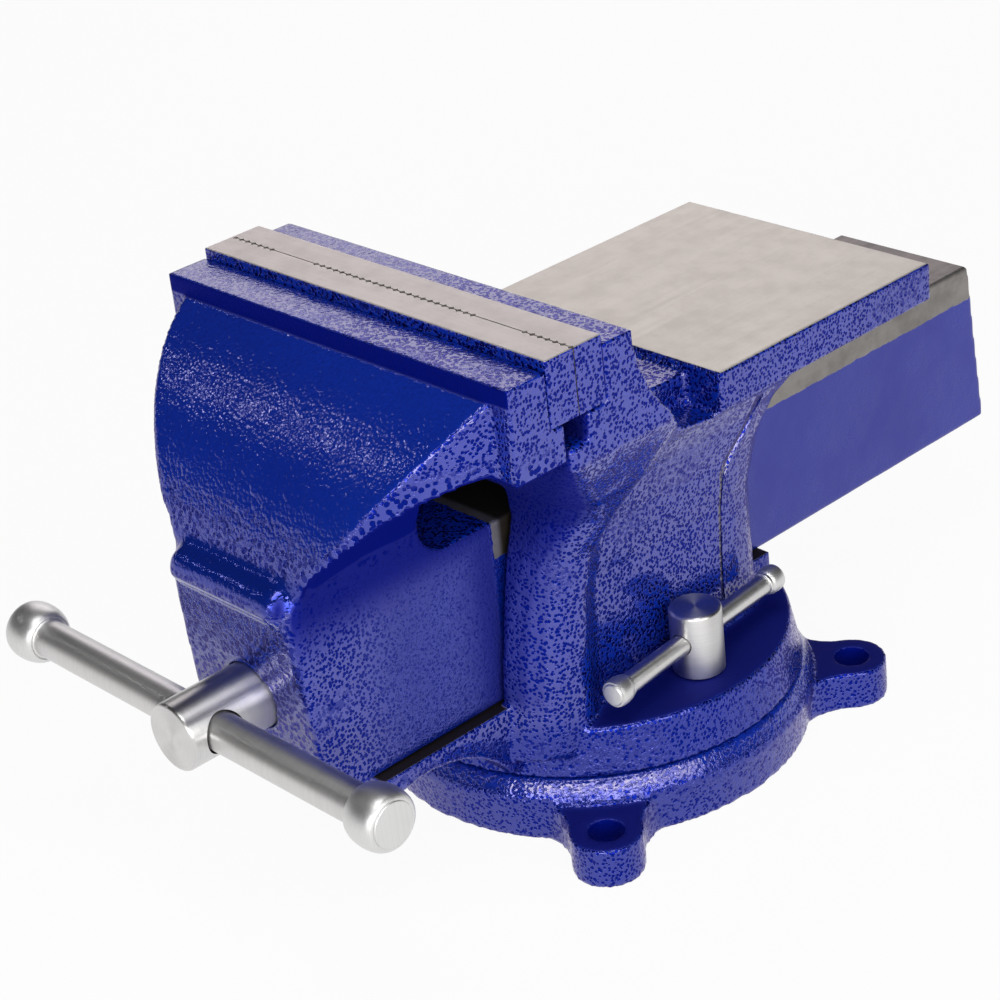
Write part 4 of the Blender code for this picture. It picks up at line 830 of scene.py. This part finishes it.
def screw_thread(name, start, end, outer, root, lead, around=40, along=10):
    """Threaded shank along local Z, grown as one skin whose radius follows the helix."""
    turns = (end - start) / lead
    rows = int(turns * along) + 1
    bm = bmesh.new()
    grid = []
    for row in range(rows):
        height = start + (end - start) * row / (rows - 1)
        ring = []
        for k in range(around):
            phase = (height / lead + k / around) % 1.0
            crest = min(max((abs(phase - 0.5) - 0.14) / 0.10, 0.0), 1.0)
            fade = min(1.0, (height - start) / (2 * MM), (end - height) / (2 * MM))
            radius = root + (outer - root) * (1 - crest) * max(fade, 0.0)
            turn = math.tau * k / around
            ring.append(bm.verts.new((radius * math.cos(turn), radius * math.sin(turn), height)))
        grid.append(ring)
    for lower, upper in zip(grid, grid[1:]):
        for k in range(around):
            after = (k + 1) % around
            bm.faces.new((lower[k], lower[after], upper[after], upper[k]))
    bm.faces.new(grid[0])
    bm.faces.new(grid[-1])
    bmesh.ops.recalc_face_normals(bm, faces=bm.faces)
    mesh = bpy.data.meshes.new(name)
    bm.to_mesh(mesh)
    bm.free()
    obj = link(bpy.data.objects.new(name, mesh))
    aim = Vector((0, 1, 0)).to_track_quat('Z', 'Y')
    obj.matrix_world = Matrix.Translation((0, 0, AXIS_Z)) @ aim.to_matrix().to_4x4()
    mesh.shade_smooth()
    mesh.set_sharp_from_angle(angle=math.radians(50))
    return obj


thread = screw_thread("screw_thread", THREAD_Y - 1 * MM, SCREW_HIGH.y, SHANK_RADIUS,
                      THREAD_ROOT, THREAD_LEAD)
finish_piece(thread, "screw", "turned_steel", [thread_steel])

bar_half = (BAR_HIGH.x - BAR_LOW.x) / 2
bar_middle = Vector(((BAR_HIGH.x + BAR_LOW.x) / 2, HANDLE_Y, AXIS_Z))
bar_profile = ([(0, bar_half)] + round_edge(BAR_RADIUS, bar_half, 0.8 * MM)
               + round_edge(BAR_RADIUS, -bar_half, 0.8 * MM, top=False) + [(0, -bar_half)])
bar = lathe("handle_rod", bar_profile, bar_middle, (1, 0, 0))
finish_piece(bar, "handle", "turned_steel", [rod_steel], "handle_bar")


def knob(name, node, side):
    """Ball-like end of the handle with a flat outer face."""
    low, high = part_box(node)
    middle = (low + high) / 2
    half = (high.x - low.x) / 2
    widest = (high.z - low.z) / 2
    flat = widest * 0.73
    profile = [(0, half)] + round_edge(flat, half, 0.35 * MM, 3)
    for step in range(1, 24):
        turn = math.pi * step / 24
        start = flat if turn < math.pi / 2 else flat * 0.95
        bulge = math.sin(turn ** 0.9 * math.pi ** 0.1) ** 0.9
        profile.append((start + (widest - start) * bulge, half * math.cos(turn) * 0.97))
    profile += round_edge(flat * 0.95, -half, 0.5 * MM, 3, top=False)
    profile.append((0, -half))
    piece = lathe(name, profile, middle, (side, 0, 0))
    return finish_piece(piece, "handle", "turned_steel", [knob_steel], node)


knob("knob_left", "handle_knob_left", -1)
knob("knob_right", "handle_knob_right", 1)


# Lock screws and their tommy bars

def lock(side, name):
    """Lock screw with its tommy bar, which is a rod with two caps."""
    low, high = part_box(f"lock_screw_{name}")
    radius = (high.x - low.x) / 2
    x = (high.x + low.x) / 2
    bar_low, bar_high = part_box(f"lock_bar_{name}")
    height = (bar_low.z + bar_high.z) / 2
    rod_radius = (bar_high.z - bar_low.z) / 2
    centre = Vector((x, 0, height))
    aim = Vector((side * math.sin(LOCK_BAR_TURN), -math.cos(LOCK_BAR_TURN), 0))
    top = high.z - height
    seat = POCKET_FLOOR - height
    foot = low.z - height
    profile = [(0, top), (radius * 0.55, top)] + round_edge(radius, top, 1.1 * MM)
    profile += round_edge(radius, seat, 0.5 * MM, 3, top=False)
    profile += [(LOCK_SHANK, seat), (LOCK_SHANK, foot), (0, foot)]
    reach = aim * radius * 1.6
    bolt = lathe(f"lock_bolt_{name}", profile, centre, (0, 0, 1),
                 cuts=[(centre - reach, centre + reach, rod_radius + 0.3 * MM)])
    finish_piece(bolt, f"lock_screw_{name}", "turned_steel", [steel], f"lock_screw_{name}")
    profile = ([(0, LOCK_ROD_HALF)] + round_edge(rod_radius, LOCK_ROD_HALF, 0.5 * MM, 3)
               + round_edge(rod_radius, -LOCK_ROD_HALF, 0.5 * MM, 3, top=False)
               + [(0, -LOCK_ROD_HALF)])
    rod = lathe(f"lock_rod_{name}", profile, centre, aim, 64)
    finish_piece(rod, f"lock_bar_{name}", "turned_steel", [steel], f"lock_bar_{name}")
    profile = [(0, CAP_HALF)] + round_edge(CAP_RADIUS * 0.80, CAP_HALF, 0.6 * MM, 4)
    for step in range(1, 14):
        share = step / 14
        bulge = math.sin(math.pi * min(share * 1.2, 1.0)) ** 0.4
        level = CAP_HALF * (1 - 2 * share)
        base = CAP_RADIUS * (0.80 if share < 0.5 else 0.84)
        profile.append((base + (CAP_RADIUS - base) * bulge, level * 0.96))
    profile += round_edge(CAP_RADIUS * 0.84, -CAP_HALF, 0.4 * MM, 3, top=False)
    profile.append((0, -CAP_HALF))
    for end, end_name in ((-1, "rear"), (1, "front")):
        cap = lathe(f"lock_cap_{name}_{end_name}", profile,
                    centre + aim * end * (LOCK_BAR_HALF - CAP_HALF), aim * end, 64)
        finish_piece(cap, f"lock_bar_{name}", "turned_steel", [knob_steel],
                     f"lock_bar_{name}_cap_{end_name}")


lock(-1, "left")
lock(1, "right")


# Frame solids that keep their shape and get their material here

for node, mat in (
        ("fixed_plate_screw_left", black), ("fixed_plate_screw_right", black),
        ("moving_plate_screw_left", black), ("moving_plate_screw_right", black),
        ("nut_bolt", black), ("clamp_nut_left", black), ("clamp_nut_right", black),
        ("thrust_washer", black), ("retaining_collar", black), ("main_nut", oiled),
        ("release_spring", spring), ("split_pin", spring)):
    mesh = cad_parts[node].data
    mesh.materials.clear()
    mesh.materials.append(mat)


# Camera at the photograph's viewing angle, with its slight roll

CAMERA_PLACE = (0.536401, -0.492266, 0.460359)
CAMERA_TURN = Matrix(((0.68724622, -0.27089902, 0.67402252),
                      (0.71929547, 0.38344723, -0.57929461),
                      (-0.10152173, 0.88293938, 0.45837909)))
FOCAL_LENGTH = 91.544

camera_data = bpy.data.cameras.new("camera")
camera_data.lens = FOCAL_LENGTH
camera_data.sensor_width = 36
camera_data.clip_start = 0.02
camera = link(bpy.data.objects.new("camera", camera_data))
camera.matrix_world = Matrix.Translation(CAMERA_PLACE) @ CAMERA_TURN.to_4x4()
SCENE.camera = camera


# Floor, world and studio lights

WORLD_LOW = 0.9
WORLD_HIGH = 0.025
FLOOR_TONE = 0.84
FLOOR_WHITE = 0.94


def floor_material():
    """Pale floor that the camera sees as white, with the object's shadow kept."""
    mat, tree, shader = new_material("floor")
    tree.nodes.remove(shader)
    out = tree.nodes["Material Output"]
    matte = tree.nodes.new("ShaderNodeBsdfDiffuse")
    matte.inputs["Color"].default_value = (FLOOR_TONE, FLOOR_TONE, FLOOR_TONE, 1)
    glow = tree.nodes.new("ShaderNodeEmission")
    glow.inputs["Color"].default_value = (1, 1, 1, 1)
    glow.inputs["Strength"].default_value = 1.0
    seen = tree.nodes.new("ShaderNodeLightPath")
    blend = tree.nodes.new("ShaderNodeMixShader")
    bright = largest(tree, seen.outputs["Is Camera Ray"], seen.outputs["Is Glossy Ray"])
    put(blend.inputs[0], both(tree, bright, FLOOR_WHITE))
    put(blend.inputs[1], matte.outputs[0])
    put(blend.inputs[2], glow.outputs[0])
    put(out.inputs["Surface"], blend.outputs[0])
    return mat


bm = bmesh.new()
bmesh.ops.create_circle(bm, cap_ends=True, segments=96, radius=4.0)
floor_mesh = bpy.data.meshes.new("floor")
bm.to_mesh(floor_mesh)
bm.free()
floor = link(bpy.data.objects.new("floor", floor_mesh))
floor.data.materials.append(floor_material())

world = bpy.data.worlds.new("studio")
SCENE.world = world
world.use_nodes = True
tree = world.node_tree
backdrop = tree.nodes["Background"]
path = tree.nodes.new("ShaderNodeLightPath")
backdrop.inputs["Color"].default_value = (1, 1, 1, 1)
sky = split(tree, tree.nodes.new("ShaderNodeTexCoord").outputs["Generated"])[2]
cove = ramp(tree, sky, 0.0, 0.20, WORLD_LOW, WORLD_HIGH)
put(backdrop.inputs["Strength"], mix_value(tree, path.outputs["Is Camera Ray"], cove, 1.0))


def area_light(name, place, target, size, power, colour=(1, 1, 1), mirrored=True):
    """Area light aimed at a target. The paint mirrors it unless mirrored is False."""
    data = bpy.data.lights.new(name, 'AREA')
    data.shape = 'RECTANGLE'
    data.size = size[0]
    data.size_y = size[1]
    data.energy = power
    data.color = colour
    obj = link(bpy.data.objects.new(name, data))
    aim = (Vector(target) - Vector(place)).to_track_quat('-Z', 'Y')
    obj.matrix_world = Matrix.Translation(place) @ aim.to_matrix().to_4x4()
    obj.visible_glossy = mirrored


area_light("back_box", (-0.80, 0.75, 0.75), (0, 0, 0.12), (1.0, 0.8), 4.3, (1.0, 0.96, 0.985))
area_light("top_box", (0.30, -0.35, 1.20), (0, 0, 0.12), (0.6, 0.6), 5.5)
area_light("right_box", (1.10, -0.10, 0.60), (0, 0, 0.1), (0.5, 0.7), 4.0)
area_light("front_strip", (0.84, -0.93, 0.47), (0, -0.02, 0.10), (1.5, 0.36), 11.0)
area_light("front_fill", (0.05, -1.50, 0.45), (0, -0.1, 0.1), (1.2, 0.6), 0.8,
           mirrored=False)
area_light("rear_fill", (1.00, 1.10, 0.35), (0.05, 0.05, 0.05), (0.8, 0.4), 3.0,
           mirrored=False)
area_light("left_box", (-0.95, -0.58, 0.845), (-0.03, -0.11, 0.15), (0.09, 0.09), 0.19)

SCENE.view_settings.view_transform = 'Standard'
